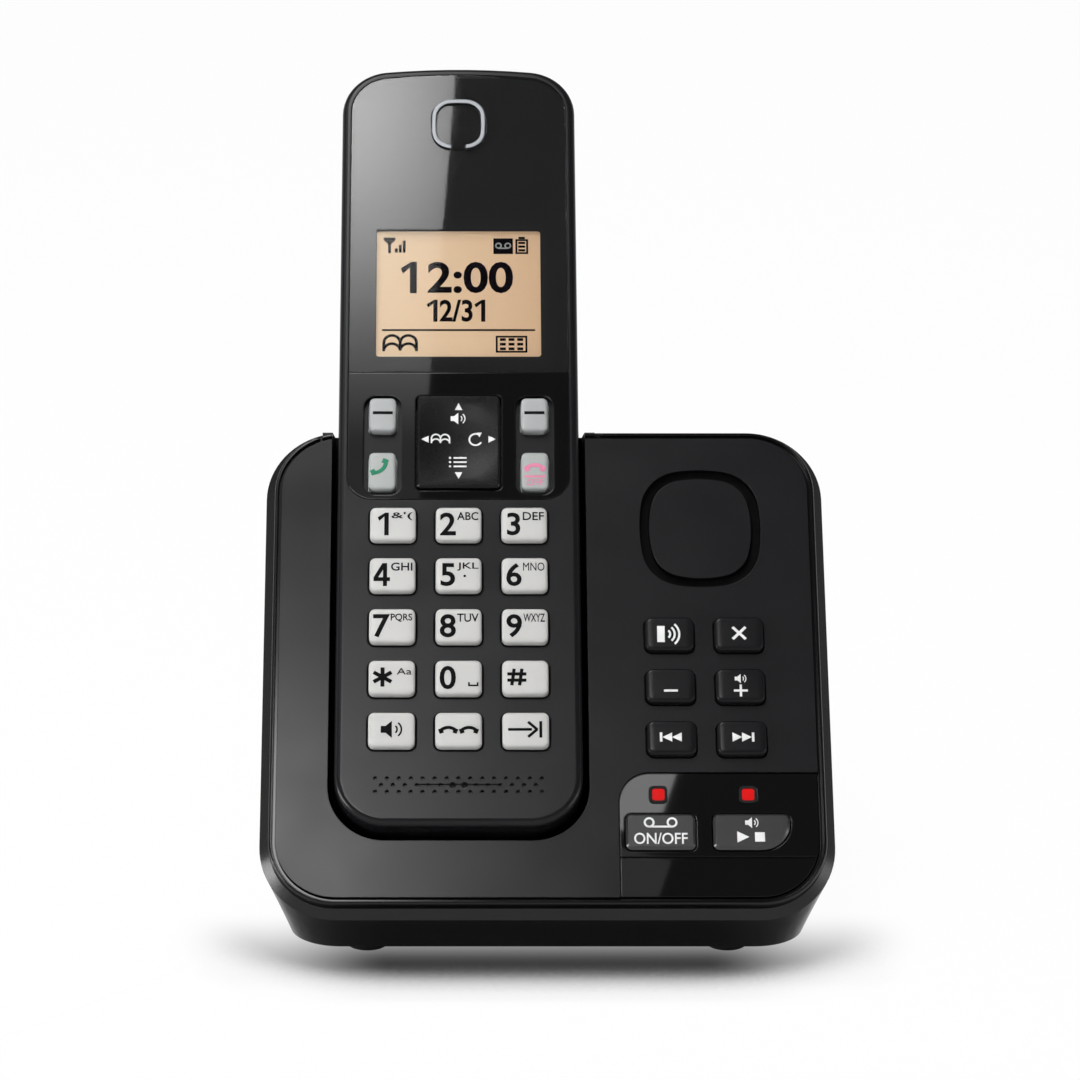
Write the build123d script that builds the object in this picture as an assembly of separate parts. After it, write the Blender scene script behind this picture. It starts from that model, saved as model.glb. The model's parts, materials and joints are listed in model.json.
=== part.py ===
from build123d import *
import math
import os

# A cordless telephone: a slim handset stands in the cradle of a wedge-shaped answering base.
# Lengths are millimetres and angles degrees. X runs right, Y to the back, Z up, the table is Z = 0.

# Clearances
overrun = 4.0  # how far a cutting shape runs past the face that it cuts
slip = 0.25  # round a key in its opening
fit = 0.15  # round a fixed piece in its recess
seat = 0.05  # where one piece rests on another
touch = 0.01  # how closely two levels agree to count as one

# Base housing: the face is a tilted rounded rectangle, the foot a smaller one on the table
face_tilt = 48.0
base_width = 111.0
face_length = 99.6
face_corner = 13.0
front_height = 12.0  # of the face's front edge above the table
rim_step = 1.8  # the top cover is this much smaller than the case on every side
rim_height = 2.6
rim_round = 0.6
cover_wall = 2.2
face_plate = 2.2
seam_chamfer = 0.6
bevel_depth = 1.6
case_wall = 2.2
case_floor = 2.2
foot_height = 1.5
foot_taper = 5.8  # the foot is this much narrower than the case on each side
foot_setback = 4.0
foot_corner = 10.0
groove_inset = 0.7
groove_width = 0.7
groove_depth = 0.8

# Handset housing
handset_width = 48.0
handset_length = 167.3
handset_thickness = 22.0
handset_corner = 10.0
handset_arch = 1.8  # rise of the curved top end
front_depth = 8.0  # of the front shell, down to the seam
front_round = 1.5
back_round = 5.0
shell_wall = 1.8
shell_chamfer = 0.3
board_ledge = 1.2

# How the handset stands in the base
cradle_left_share = 0.216887  # of the face beside the cradle that lies on its left
handset_rise = 14.8  # of its lower end above the face's front edge, along the face
handset_proud = 3.5
dock_end_gap = 1.9
dock_side_gap = 1.3
dock_back_gap = 0.4
tub_wall = 2.0
tub_corner = 11.0
backrest_reach = 8.6  # of the cradle's floor past the face's upper edge
backrest_round = 1.5
backrest_lip_round = 0.8
rail_width = 3.0
rail_spacing = 20.0
rail_length = 45.0
stop_width = 4.0
stop_spacing = 25.0
ear_width = 2.0
ear_notch = 1.0

# Gloss front panels of the handset: display lens above, control bezel below
panel_margin = 1.8
panel_foot = 68.3
panel_seam = 96.5
panel_seam_gap = 0.2
panel_corner = 5.0
panel_thickness = 1.2
window_width = 33.3
window_height = 28.7
window_sill = 3.85  # of the window's lower edge above the panels' seam
window_border = 1.0
display_border = 2.0
display_depth = 2.2
backlight_depth = 0.95
earpiece_drop = 13.8  # of the earpiece's middle below the handset's top
earpiece_width = 11.0
earpiece_height = 11.6
earpiece_corner = 4.0
earpiece_bar = 0.85
earpiece_sunk = 0.5
earpiece_proud = 0.5
earpiece_gap = 3.0
sound_slot_width = 2.4
sound_slot_height = 0.7
receiver_radius = 6.0
receiver_depth = 3.1

# Keypad of the handset, stacked down from the front face: cap, flange, mat, circuit board
key_width = 9.0
key_height = 7.2
key_corner = 1.2
key_proud = 1.5
key_edge = 0.4
key_column_pitch = 12.95
key_row_pitch = 10.88
key_first_row = 18.97
key_flange = 0.6
key_flange_depth = 0.75
key_foot_depth = 3.4
mat_top_depth = 4.0
board_top_depth = 5.0
board_depth = 1.2
plunger_radius = 1.6
mat_end_gap = 2.0

# Keys in the control bezel
side_key_width = 5.35
soft_key_height = 7.3
call_key_height = 8.05
side_key_corner = 1.1
side_key_proud = 0.6
side_key_offset = 15.15
soft_key_rise = 86.87
call_key_rise = 74.45
well_width = 7.6
well_height = 21.8
well_rise = 80.3
well_corner = 2.5
navigator_width = 16.5
navigator_height = 20.3
navigator_rise = 80.85
navigator_corner = 0.8
navigator_proud = 0.8
navigator_edge = 0.35
navigator_dish_radius = 110.0
navigator_dish_depth = 0.3
navigator_slip = 0.35
navigator_rock = 0.75  # room above the flange for the key to tilt
navigator_flange = 0.8
navigator_flange_depth = 0.6
pivot_radius = 1.4
pivot_room = 2.4

# Voice grille of the handset
grille_rise = 8.1
grille_pitch = 2.29
grille_row_pitch = 1.39
grille_count = 15
grille_hole_radius = 0.4
grille_hole_sides = 8
grille_hole_depth = 0.6
grille_slot_width = 0.45
grille_slot_depth = 0.3
grille_slot_pitches = 7
voice_hole_radius = 0.6
microphone_radius = 2.0
microphone_depth = 1.6

# Battery compartment, ringer and fasteners of the handset
cell_radius = 5.25
cell_length = 44.5
cell_tip_radius = 1.9
cell_tip_length = 0.8
cell_pitch = 11.2
cell_rise = 40.0
cell_room = 0.35
battery_end_room = 2.25
battery_wall = 1.0
cover_width = 30.0
cover_length = 62.0
cover_corner = 3.0
cover_ledge = 2.0
cover_ledge_depth = 1.2
grip_groove_length = 14.0
grip_groove_width = 1.2
grip_groove_depth = 0.5
grip_groove_pitch = 2.6
grip_groove_count = 4
contact_plate = 7.0
contact_sheet = 0.4
contact_bump_radius = 2.0
ringer_radius = 10.0
ringer_depth = 3.2
ringer_magnet_radius = 5.5
ringer_magnet_depth = 1.5
ringer_rise = 135.0
ringer_slot_length = 12.0
ringer_slot_width = 1.2
ringer_slot_pitch = 2.8
ringer_slot_count = 5
shell_screw_offset = 16.0
shell_screw_low = 7.6
shell_screw_high = 141.0
shell_boss_radius = 3.0
shell_pilot_radius = 1.15
shell_screw_web = 3.0
screw_radius = 1.1
screw_head_radius = 2.0
screw_head_depth = 1.6
screw_length = 7.0
head_room = 0.2
charge_pad_offset = 8.0
charge_pad_width = 4.5
charge_pad_height = 6.0
charge_pad_depth = 1.0
charge_pad_drop = 13.0  # of the pad's middle behind the handset's front face

# The base's right-hand field: a screw post stands beside the cradle, then comes the circuit board.
# The loudspeaker, the keys and the lamps take their sizes and places across from the board's width.
post_gap = 5.4  # of the screw post's middle from the cradle
board_gap = 1.4  # of the board from the screw post
board_margin = 5.1  # of the board from the base's side
speaker_gap = 0.4  # of the loudspeaker from the screw post
speaker_share = 0.415094
speaker_magnet_share = 0.530303  # of the loudspeaker
speaker_rim_depth = 2.0
speaker_cone_depth = 3.0
speaker_magnet_depth = 3.0
speaker_collar = 1.2
speaker_collar_depth = 2.0
ring_rise = 78.5
ring_width_share = 0.754717
ring_height_share = 0.798742
ring_bulge_share = 0.075  # of the ring's width
ring_corner_share = 0.35  # of the ring's width
ring_groove = 1.9
ring_depth = 1.3
ring_slot = 1.0
ring_bridge = 5.0
base_key_width_share = 0.301887
base_key_left_share = 0.176101
base_key_pitch_share = 0.427673
base_key_height = 7.1
base_key_corner = 1.4
base_key_proud = 1.6
base_key_edge = 0.5
base_key_first_row = 33.5
base_key_row_pitch = 10.9
base_key_flange = 0.7
base_key_flange_depth = 0.75
base_key_stem_radius = 2.0
base_key_foot_depth = 5.0
base_mat_top_depth = 5.6
base_board_top_depth = 6.6
base_board_depth = 1.6
base_board_low = 8.6
base_board_high = 64.2
base_board_corner = 2.0
board_post_radius = 1.6
board_post_inset = 2.4
board_post_low = 26.85
board_post_high = 61.6

# Gloss control panel of the base, with its two lamps and two wide keys
control_gap = 5.7  # of the panel from the cradle
control_top = 26.7
control_corner = 6.0
control_sunk = 0.3
control_thickness = 1.2
lamp_left_share = 0.08805
lamp_right_share = 0.632075
lamp_size = 3.1
lamp_corner = 0.7
lamp_proud = 0.15
lamp_rise = 22.3
lamp_flange = 0.6
lamp_flange_depth = 0.7
answer_key_left_share = -0.113208
answer_key_width_share = 0.421384
play_key_left_share = 0.415094
play_key_width_share = 0.465409
wide_key_rise = 14.65
wide_key_height = 7.3
wide_key_proud = 0.7
wide_key_corner = 1.2
wide_key_big_corner_share = 0.371622  # of the right key's width
wide_key_big_corner_high_share = 0.8  # the most that this corner takes of the key's height
strip_line_width = 0.4
strip_line_depth = 0.4
strip_line_rise = 9.5

# Fasteners, feet, sockets and wall hooks of the base
base_screw_inset = 16.9  # of the left screws from the handset's middle
base_screw_front_left = 38.0
base_screw_front_right = 24.0
base_screw_back = 53.0
base_boss_radius = 3.6
base_boss_share = 0.6  # how far up to the cover the case's boss reaches
base_screw_web = 2.6
base_screw_radius = 1.3
base_screw_head_radius = 2.3
base_screw_head_depth = 1.8
base_screw_length = 9.0
base_pilot_radius = 1.35
pad_radius = 4.0
pad_recess = 0.7
pad_side_inset = 15.0
pad_inset = 5.5
socket_sill = 12.0  # of both sockets' undersides above the table
line_socket_inset = 25.5  # of its middle from the base's side
line_socket_width = 13.4
line_socket_height = 12.0
line_socket_depth = 14.0
line_mouth_width = 9.8
line_mouth_height = 6.8
line_mouth_depth = 11.0
line_latch_width = 4.0
line_latch_height = 1.8
power_socket_inset = 27.5
power_socket_width = 11.0
power_socket_height = 9.0
power_socket_depth = 13.0
power_mouth_width = 8.0
power_mouth_height = 5.5
power_mouth_depth = 10.0
power_pin_radius = 0.8
power_pin_length = 5.0
keyhole_spacing = 62.0
keyhole_height = 38.0
keyhole_radius = 4.0
keyhole_slot_width = 4.0
keyhole_slot_length = 7.0
leaf_sheet = 0.4
leaf_width = 3.6
leaf_span = 8.0
leaf_tail = 4.0
leaf_slot_room = 0.4

# Places worked out from the sizes above
window_rise = panel_seam + window_sill + window_height / 2
earpiece_rise = handset_length - earpiece_drop
tilt_sine = math.sin(math.radians(face_tilt))
tilt_cosine = math.cos(math.radians(face_tilt))
rim_width = base_width - 2 * rim_step
bevel_bottom = rim_height + bevel_depth
back_wall = (face_length + rim_step) * tilt_cosine + bevel_bottom * tilt_sine
foot_width = base_width - 2 * foot_taper
pad_offset = foot_width / 2 - pad_side_inset
line_socket_offset = base_width / 2 - line_socket_inset
power_socket_offset = power_socket_inset - base_width / 2
tub_depth = handset_thickness - handset_proud + dock_back_gap
tub_foot = handset_rise - dock_end_gap
tub_half = handset_width / 2 + dock_side_gap
beside_cradle = base_width - 2 * tub_half
handset_offset = cradle_left_share * beside_cradle - beside_cradle / 2
control_left = handset_offset + tub_half + control_gap
base_screw_left = handset_offset - base_screw_inset
base_screw_right = handset_offset + tub_half + post_gap
base_board_left = base_screw_right + base_boss_radius + board_gap
base_board_right = base_width / 2 - board_margin
board_width = base_board_right - base_board_left
speaker_radius = speaker_share * board_width
speaker_magnet_radius = speaker_magnet_share * speaker_radius
ring_offset = base_screw_right + base_boss_radius + speaker_gap + speaker_radius
ring_width = ring_width_share * board_width
ring_height = ring_height_share * board_width
base_key_width = base_key_width_share * board_width
base_key_left = base_board_left + base_key_left_share * board_width
base_key_column_pitch = base_key_pitch_share * board_width
lamp_left = base_board_left + lamp_left_share * board_width
lamp_right = base_board_left + lamp_right_share * board_width
answer_key_left = base_board_left + answer_key_left_share * board_width
answer_key_width = answer_key_width_share * board_width
play_key_left = base_board_left + play_key_left_share * board_width
play_key_width = play_key_width_share * board_width
plate_inset = groove_inset + groove_width
key_flange_top = shell_wall + seat
base_flange_top = face_plate + seat
battery_length = cell_length + cell_tip_length + 2 * battery_end_room
battery_width = cell_pitch + 2 * cell_radius + 2 * cell_room
inner_back = handset_thickness - shell_wall
cell_depth = inner_back - cell_room - cell_radius
battery_roof = cell_depth - cell_radius - cell_room

face_frame = Plane(
    origin=(0, 0, front_height), x_dir=(1, 0, 0), z_dir=(0, -tilt_sine, tilt_cosine)
).location
handset_frame = face_frame * Pos(handset_offset, handset_rise, handset_proud)


def at_face(along, depth):
    """The (y, z) point this far up the face and this deep below it."""
    y = along * tilt_cosine + depth * tilt_sine
    z = front_height + along * tilt_sine - depth * tilt_cosine
    return y, z


def slab(sketch, top, bottom):
    """A flat sketch drawn out between two depths, both measured down from the face."""
    return Pos(0, 0, -bottom) * extrude(sketch, amount=bottom - top)


def rounded(width, height, corner, x=0, y=0):
    """A rounded rectangle about a point."""
    return Pos(x, y) * RectangleRounded(width, height, corner)


def disc(radius, top, bottom, x=0, y=0):
    """A cylinder between two depths below the face."""
    return slab(Pos(x, y) * Circle(radius), top, bottom)


def edges_at(solid, level):
    """The edges of a solid that lie flat at one level of its own Z."""
    return [
        edge
        for edge in solid.edges()
        if abs(edge.bounding_box().min.Z - level) < touch and abs(edge.bounding_box().max.Z - level) < touch
    ]


def group(solids):
    """Several separate solids as one piece."""
    return Compound(children=[solid for piece in solids for solid in piece.solids()])


def drawn_section(front, back, width, corner, inset):
    """A rounded rectangle that slopes from a front (y, z) point to a back one, shrunk by an inset."""
    rise = math.atan2(back[1] - front[1], back[0] - front[0])
    length = math.dist(front, back)
    middle = Plane(
        origin=(0, (front[0] + back[0]) / 2, (front[1] + back[1]) / 2),
        x_dir=(1, 0, 0),
        z_dir=(0, -math.sin(rise), math.cos(rise)),
    )
    return middle * RectangleRounded(width - 2 * inset, length - 2 * inset, corner - inset)


def wedge(top_depth, floor, inset):
    """The base's outer form below one depth of the face, shrunk by an inset."""
    top = drawn_section(
        at_face(0, top_depth), at_face(face_length, top_depth), rim_width, face_corner, inset
    )
    bevel = drawn_section(
        at_face(-rim_step, bevel_bottom),
        at_face(face_length + rim_step, bevel_bottom),
        base_width,
        face_corner + rim_step,
        inset,
    )
    foot = drawn_section((foot_setback, floor), (back_wall, floor), foot_width, foot_corner, inset)
    return loft([top, bevel, foot], ruled=True)


def face_outline(inset):
    """The top cover's outline on the face, shrunk by an inset."""
    return rounded(
        rim_width - 2 * inset, face_length - 2 * inset, face_corner - inset, y=face_length / 2
    )


def cradle_outline(grow):
    """The cradle on the face: open at the top end, with two round lower corners."""
    half = tub_half + grow
    low = tub_foot - grow
    high = face_length + backrest_reach + overrun
    shape = Pos(handset_offset, (low + high) / 2) * Rectangle(2 * half, high - low)
    return fillet(shape.vertices().sort_by(Axis.Y)[:2], tub_corner + grow)


def handset_outline(inset=0):
    """The handset seen from the front, shrunk by an inset: an arched top and four round corners."""
    half = handset_width / 2 - inset
    shoulder = handset_length - handset_arch - inset
    edges = [
        Line((-half, inset), (half, inset)),
        Line((half, inset), (half, shoulder)),
        ThreePointArc((half, shoulder), (0, handset_length - inset), (-half, shoulder)),
        Line((-half, shoulder), (-half, inset)),
    ]
    shape = make_face(edges)
    return fillet(shape.vertices(), handset_corner - inset)


def panel_outline(low, high, inset):
    """The stretch of the handset's gloss panel between two heights."""
    shape = handset_outline(panel_margin + inset)
    stretch = Pos(0, (low + high) / 2) * Rectangle(handset_width, high - low)
    return shape & stretch


def squircle(width, height, bulge, corner):
    """A square with bowed sides and round corners."""
    across = width / 2
    up = height / 2
    corners = [
        (across - bulge, up - bulge),
        (bulge - across, up - bulge),
        (bulge - across, bulge - up),
        (across - bulge, bulge - up),
    ]
    crowns = [(0, up), (-across, 0), (0, -up), (across, 0)]
    sides = [
        ThreePointArc(corners[index], crowns[index], corners[(index + 1) % len(corners)])
        for index in range(len(corners))
    ]
    return fillet(make_face(sides).vertices(), corner)


def key_cap(outline, proud, edge, bottom):
    """A key's cap with a softened top edge, from its proud top down to a depth."""
    cap = slab(outline, -proud, bottom)
    return chamfer(edges_at(cap, proud), edge)


def handset_key(outline, flange, proud):
    """A handset key: cap, retaining flange under the front wall and a foot on the mat."""
    cap = key_cap(outline, proud, key_edge, key_foot_depth)
    return cap + slab(flange, key_flange_top, key_flange_top + key_flange_depth)


# The handset's key field: node name, outline size, place and height above the front face
keypad_names = [
    ["key_speakerphone", "key_intercom", "key_flash"],
    ["key_star", "key_0", "key_pound"],
    ["key_7", "key_8", "key_9"],
    ["key_4", "key_5", "key_6"],
    ["key_1", "key_2", "key_3"],
]
handset_key_fields = {}
for row, names in enumerate(keypad_names):
    for column, name in enumerate(names):
        place = ((column - 1) * key_column_pitch, key_first_row + row * key_row_pitch)
        handset_key_fields[name] = (key_width, key_height, key_corner, place, key_proud)
for side, soft_name, call_name in [(-1, "soft_key_left", "talk_key"), (1, "soft_key_right", "off_key")]:
    offset = side * side_key_offset
    handset_key_fields[soft_name] = (
        side_key_width, soft_key_height, side_key_corner, (offset, soft_key_rise), side_key_proud
    )
    handset_key_fields[call_name] = (
        side_key_width, call_key_height, side_key_corner, (offset, call_key_rise), side_key_proud
    )

# The base's key field, and its two wide keys as left edge and width
base_key_names = [
    ["rewind_key", "forward_key"],
    ["volume_down_key", "volume_up_key"],
    ["locator_key", "erase_key"],
]
base_key_places = {}
for row, names in enumerate(base_key_names):
    for column, name in enumerate(names):
        base_key_places[name] = (
            base_key_left + column * base_key_column_pitch,
            base_key_first_row + row * base_key_row_pitch,
        )
wide_key_spans = {
    "answer_key": (answer_key_left, answer_key_width),
    "play_stop_key": (play_key_left, play_key_width),
}
shell_screw_places = [
    (side * shell_screw_offset, rise)
    for side in (-1, 1)
    for rise in (shell_screw_low, shell_screw_high)
]


def handset_front_case():
    """The front shell, with its panel recess, key openings, voice grille and screw bosses."""
    case = slab(handset_outline(), 0, front_depth)
    case = fillet(edges_at(case, 0), front_round)
    case = chamfer(edges_at(case, -front_depth), shell_chamfer)
    case -= slab(handset_outline(shell_wall + board_ledge), shell_wall, board_top_depth)
    case -= slab(handset_outline(shell_wall), board_top_depth, front_depth + overrun)
    for x, y in shell_screw_places:
        case += disc(shell_boss_radius, shell_wall / 2, board_top_depth, x, y)
        case -= disc(shell_pilot_radius, shell_wall, board_top_depth + overrun, x, y)
    case -= slab(gloss_recess(0), -overrun, panel_thickness)
    window = rounded(
        window_width + 2 * window_border, window_height + 2 * window_border, key_corner, y=window_rise
    )
    case -= slab(window, -overrun, front_depth)
    case -= slab(sound_slot(), -overrun, front_depth)
    for width, height, corner, place, proud in handset_key_fields.values():
        opening = rounded(width + 2 * slip, height + 2 * slip, corner + slip, *place)
        case -= slab(opening, -overrun, front_depth)
    case -= slab(navigator_outline(navigator_slip), -overrun, front_depth)
    return case - voice_grille()


def gloss_recess(inset):
    """The outline of both gloss panels together, with round lower corners."""
    shape = panel_outline(panel_foot + inset, handset_length, inset)
    return fillet(shape.vertices().sort_by(Axis.Y)[:2], panel_corner - inset)


def sound_slot():
    """The earpiece's slot, in the gap at the foot of its ring."""
    rise = earpiece_rise - earpiece_height / 2 + earpiece_bar / 2
    return Pos(0, rise) * SlotOverall(sound_slot_width, sound_slot_height)


def navigator_outline(grow):
    """The navigator key's outline, grown by a clearance."""
    return rounded(
        navigator_width + 2 * grow, navigator_height + 2 * grow, navigator_corner + grow, y=navigator_rise
    )


def voice_grille():
    """Cutters for the voice grille: three staggered rows of dimples, a slot and two real holes."""
    rows = [(-1, grille_count), (0, grille_count - 1), (1, grille_count)]
    dots = [
        Pos((index - (count - 1) / 2) * grille_pitch, grille_rise + row * grille_row_pitch)
        for row, count in rows
        for index in range(count)
    ]
    dimples = Sketch() + [dot * RegularPolygon(grille_hole_radius, grille_hole_sides) for dot in dots]
    slot = Pos(0, grille_rise) * SlotOverall(grille_slot_pitches * grille_pitch, grille_slot_width)
    cutters = slab(dimples, -overrun, grille_hole_depth) + slab(slot, -overrun, grille_slot_depth)
    for side in (-1, 1):
        cutters += disc(voice_hole_radius, -overrun, front_depth, side * grille_pitch / 2, grille_rise)
    return cutters


def handset_rear_case():
    """The rear shell, with the battery compartment, ringer slots and screw wells."""
    case = slab(handset_outline(), front_depth, handset_thickness)
    case = chamfer(edges_at(case, -front_depth), shell_chamfer)
    case = fillet(edges_at(case, -handset_thickness), back_round)
    hollow = slab(handset_outline(shell_wall), front_depth - overrun, inner_back)
    case -= fillet(edges_at(hollow, -inner_back), back_round - shell_wall)
    box = rounded(
        battery_width + 2 * battery_wall, battery_length + 2 * battery_wall, battery_wall, y=cell_rise
    )
    case += slab(box, battery_roof - battery_wall, inner_back)
    ledge = rounded(
        cover_width + 2 * cover_ledge, cover_length + 2 * cover_ledge, cover_corner + cover_ledge, y=cell_rise
    )
    case += slab(ledge, inner_back - cover_ledge_depth, inner_back + seat)
    room = Pos(0, cell_rise) * Rectangle(battery_width, battery_length)
    case -= slab(room, battery_roof, handset_thickness)
    case -= slab(
        rounded(cover_width + 2 * fit, cover_length + 2 * fit, cover_corner + fit, y=cell_rise),
        inner_back,
        handset_thickness + overrun,
    )
    board_back = board_top_depth + board_depth + 2 * seat
    for x, y in shell_screw_places:
        case += disc(shell_boss_radius, board_back, inner_back + seat, x, y)
        case -= disc(screw_radius + seat, board_back - overrun, handset_thickness + overrun, x, y)
        head_seat = board_back + shell_screw_web
        case -= disc(screw_head_radius + head_room, head_seat, handset_thickness + overrun, x, y)
    for index in range(ringer_slot_count):
        rise = ringer_rise + (index - (ringer_slot_count - 1) / 2) * ringer_slot_pitch
        slot = Pos(0, rise) * SlotOverall(ringer_slot_length, ringer_slot_width)
        case -= slab(slot, inner_back - overrun, handset_thickness + overrun)
    return case - group(charge_pads(fit))


def charge_pads(grow):
    """The two charging pads in the handset's lower end, grown by a clearance."""
    width = charge_pad_width + 2 * grow
    height = charge_pad_height + 2 * grow
    return [
        Pos(side * charge_pad_offset, (charge_pad_depth + grow) / 2, -charge_pad_drop)
        * Box(width, charge_pad_depth + grow, height)
        for side in (-1, 1)
    ]


def battery_cover():
    """The flush battery door, with finger grooves near its upper end."""
    outline = rounded(cover_width, cover_length, cover_corner, y=cell_rise)
    door = slab(outline, inner_back + seat, handset_thickness)
    top = cell_rise + cover_length / 2 - cover_corner
    for index in range(grip_groove_count):
        groove = Pos(0, top - index * grip_groove_pitch) * SlotOverall(grip_groove_length, grip_groove_width)
        door -= slab(groove, handset_thickness - grip_groove_depth, handset_thickness + overrun)
    return door


def display_lens():
    """The clear upper panel over the display, grooved for the earpiece ring."""
    shape = gloss_recess(fit) & Pos(0, (panel_seam + handset_length) / 2) * Rectangle(
        handset_width, handset_length - panel_seam - panel_seam_gap
    )
    lens = slab(shape, 0, panel_thickness - seat)
    lens -= slab(earpiece_ring_outline(fit), -overrun, earpiece_sunk + seat)
    return lens - slab(sound_slot(), -overrun, front_depth)


def control_bezel():
    """The gloss lower panel, open for the navigator and for the two key wells."""
    low = panel_foot - overrun
    shape = gloss_recess(fit) & Pos(0, (low + panel_seam) / 2) * Rectangle(
        handset_width, panel_seam - low - panel_seam_gap
    )
    bezel = slab(shape, 0, panel_thickness - seat)
    bezel -= slab(navigator_outline(navigator_slip), -overrun, front_depth)
    for side in (-1, 1):
        well = rounded(well_width, well_height, well_corner, side * side_key_offset, well_rise)
        bezel -= slab(well, -overrun, front_depth)
    return bezel


def earpiece_ring_outline(grow):
    """The bright ring round the earpiece, open at its foot."""
    outer = squircle(
        earpiece_width + 2 * grow, earpiece_height + 2 * grow, earpiece_bar / 2, earpiece_corner + grow
    )
    bar = earpiece_bar + 2 * grow
    inner = squircle(
        earpiece_width + 2 * grow - 2 * bar,
        earpiece_height + 2 * grow - 2 * bar,
        earpiece_bar / 2,
        earpiece_corner + grow - bar,
    )
    gap = Pos(0, -earpiece_height / 2) * Rectangle(earpiece_gap - 2 * grow, earpiece_height)
    return Pos(0, earpiece_rise) * (outer - inner - gap)


def earpiece_ring():
    """The bright trim ring, half sunk in the lens."""
    return slab(earpiece_ring_outline(0), -earpiece_proud, earpiece_sunk)


def display_outline():
    """The display's outer edge behind the window."""
    return rounded(
        window_width + 2 * display_border, window_height + 2 * display_border, key_corner, y=window_rise
    )


def handset_key_mat():
    """The rubber mat under the keypad, with one plunger for each key."""
    low = handset_outline(shell_wall + board_ledge + fit)
    high = window_rise - window_height / 2 - display_border - mat_end_gap
    sheet = low & Pos(0, high / 2) * Rectangle(handset_width, high)
    for x, y in shell_screw_places:
        sheet -= Pos(x, y) * Circle(shell_boss_radius + fit)
    sheet -= Pos(0, grille_rise) * Circle(microphone_radius + fit)
    mat = slab(sheet, mat_top_depth, board_top_depth)
    plungers = [
        disc(plunger_radius, key_foot_depth + seat, mat_top_depth, *field[3])
        for field in handset_key_fields.values()
    ]
    return mat + plungers


def handset_circuit_board():
    """The circuit board, which lies on the front shell's ledge and is clamped by the screws."""
    outline = handset_outline(shell_wall + fit)
    for x, y in shell_screw_places:
        outline -= Pos(x, y) * Circle(screw_radius + fit)
    top = board_top_depth + seat
    return slab(outline, top, top + board_depth)


def navigator_key():
    """The rocking navigator: a dished cap, a flange with room to tilt and a hollow over its pivot."""
    flange_top = shell_wall + navigator_rock
    foot = flange_top + navigator_flange_depth
    key = key_cap(navigator_outline(0), navigator_proud, navigator_edge, foot)
    key += slab(navigator_outline(navigator_flange), flange_top, foot)
    dish_rise = navigator_proud - navigator_dish_depth + navigator_dish_radius
    key -= Pos(0, navigator_rise, dish_rise) * Sphere(navigator_dish_radius)
    hollow_top = mat_top_depth - pivot_radius - seat
    return key - disc(pivot_room, hollow_top, foot + overrun, 0, navigator_rise)


def navigator_pivot():
    """The small dome that the navigator rocks on."""
    dome = Sphere(pivot_radius) & Pos(0, 0, pivot_radius) * Box(
        2 * pivot_radius, 2 * pivot_radius, 2 * pivot_radius
    )
    return Pos(0, navigator_rise, -mat_top_depth) * dome


def battery_cells():
    """Two cells side by side, one turned end for end."""
    cells = []
    for side in (-1, 1):
        can = Cylinder(cell_radius, cell_length)
        tip = Pos(0, 0, (cell_length + cell_tip_length) / 2) * Cylinder(cell_tip_radius, cell_tip_length)
        lie = Pos(side * cell_pitch / 2, cell_rise - side * cell_tip_length / 2, -cell_depth)
        cells.append(lie * Rot(-side * 90, 0, 0) * (can + tip))
    return group(cells)


def battery_contacts():
    """A sheet contact with a pressed bump at both ends of each cell."""
    contacts = []
    for side in (-1, 1):
        for end in (-1, 1):
            bump = battery_end_room - contact_sheet - 2 * seat
            wall = cell_rise + end * (battery_length / 2 - contact_sheet / 2 - seat)
            sheet = Box(contact_plate, contact_sheet, contact_plate)
            dome = Pos(0, -end * (contact_sheet + bump) / 2) * Rot(90, 0, 0) * Cylinder(
                contact_bump_radius, bump
            )
            contacts.append(Pos(side * cell_pitch / 2, wall, -cell_depth) * (sheet + dome))
    return group(contacts)


def handset_loudspeaker():
    """The ringer behind the rear slots."""
    front = inner_back - seat
    rim = front - ringer_depth
    body = disc(ringer_radius, rim, front, 0, ringer_rise)
    return body + disc(ringer_magnet_radius, rim - ringer_magnet_depth, rim, 0, ringer_rise)


def handset_screws():
    """Four screws, driven from the back through the board into the front shell."""
    head_seat = board_top_depth + board_depth + 2 * seat + shell_screw_web
    return group(
        disc(screw_radius, head_seat - screw_length, head_seat, x, y)
        + disc(screw_head_radius, head_seat, head_seat + screw_head_depth, x, y)
        for x, y in shell_screw_places
    )


def base_screw_places():
    """Plan places of the base's screws, each with the height where its two bosses meet."""
    places = [
        (base_screw_left, base_screw_front_left, tub_depth + tub_wall),
        (base_screw_left, base_screw_back, tub_depth + tub_wall),
        (base_screw_right, base_screw_front_right, face_plate),
        (base_screw_right, base_screw_back, face_plate),
    ]
    floor = foot_height + case_floor
    found = []
    for x, y, depth in places:
        along = (y - depth * tilt_sine) / tilt_cosine
        under = at_face(along, depth)[1]
        found.append((x, y, floor + base_boss_share * (under - floor)))
    return found


def upright(radius, low, high, x, y):
    """A vertical cylinder between two heights above the table."""
    return Pos(x, y, (low + high) / 2) * Cylinder(radius, high - low)


def cradle_tub():
    """The cradle's outer body; its floor stands out behind the housing as a backrest for the handset."""
    tub_back = tub_depth + tub_wall
    tub = slab(cradle_outline(tub_wall), face_plate / 2, tub_back)
    tub = fillet(edges_at(tub, -tub_back), backrest_round)
    side = make_face(
        Polyline((0, 0), (face_length, 0), (face_length + backrest_reach, -tub_back), (0, -tub_back), close=True)
    )
    side = fillet(side.vertices().sort_by(Axis.X)[-1], backrest_lip_round)
    return face_frame * (tub & extrude(Plane.YZ * side, amount=base_width, both=True))


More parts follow.
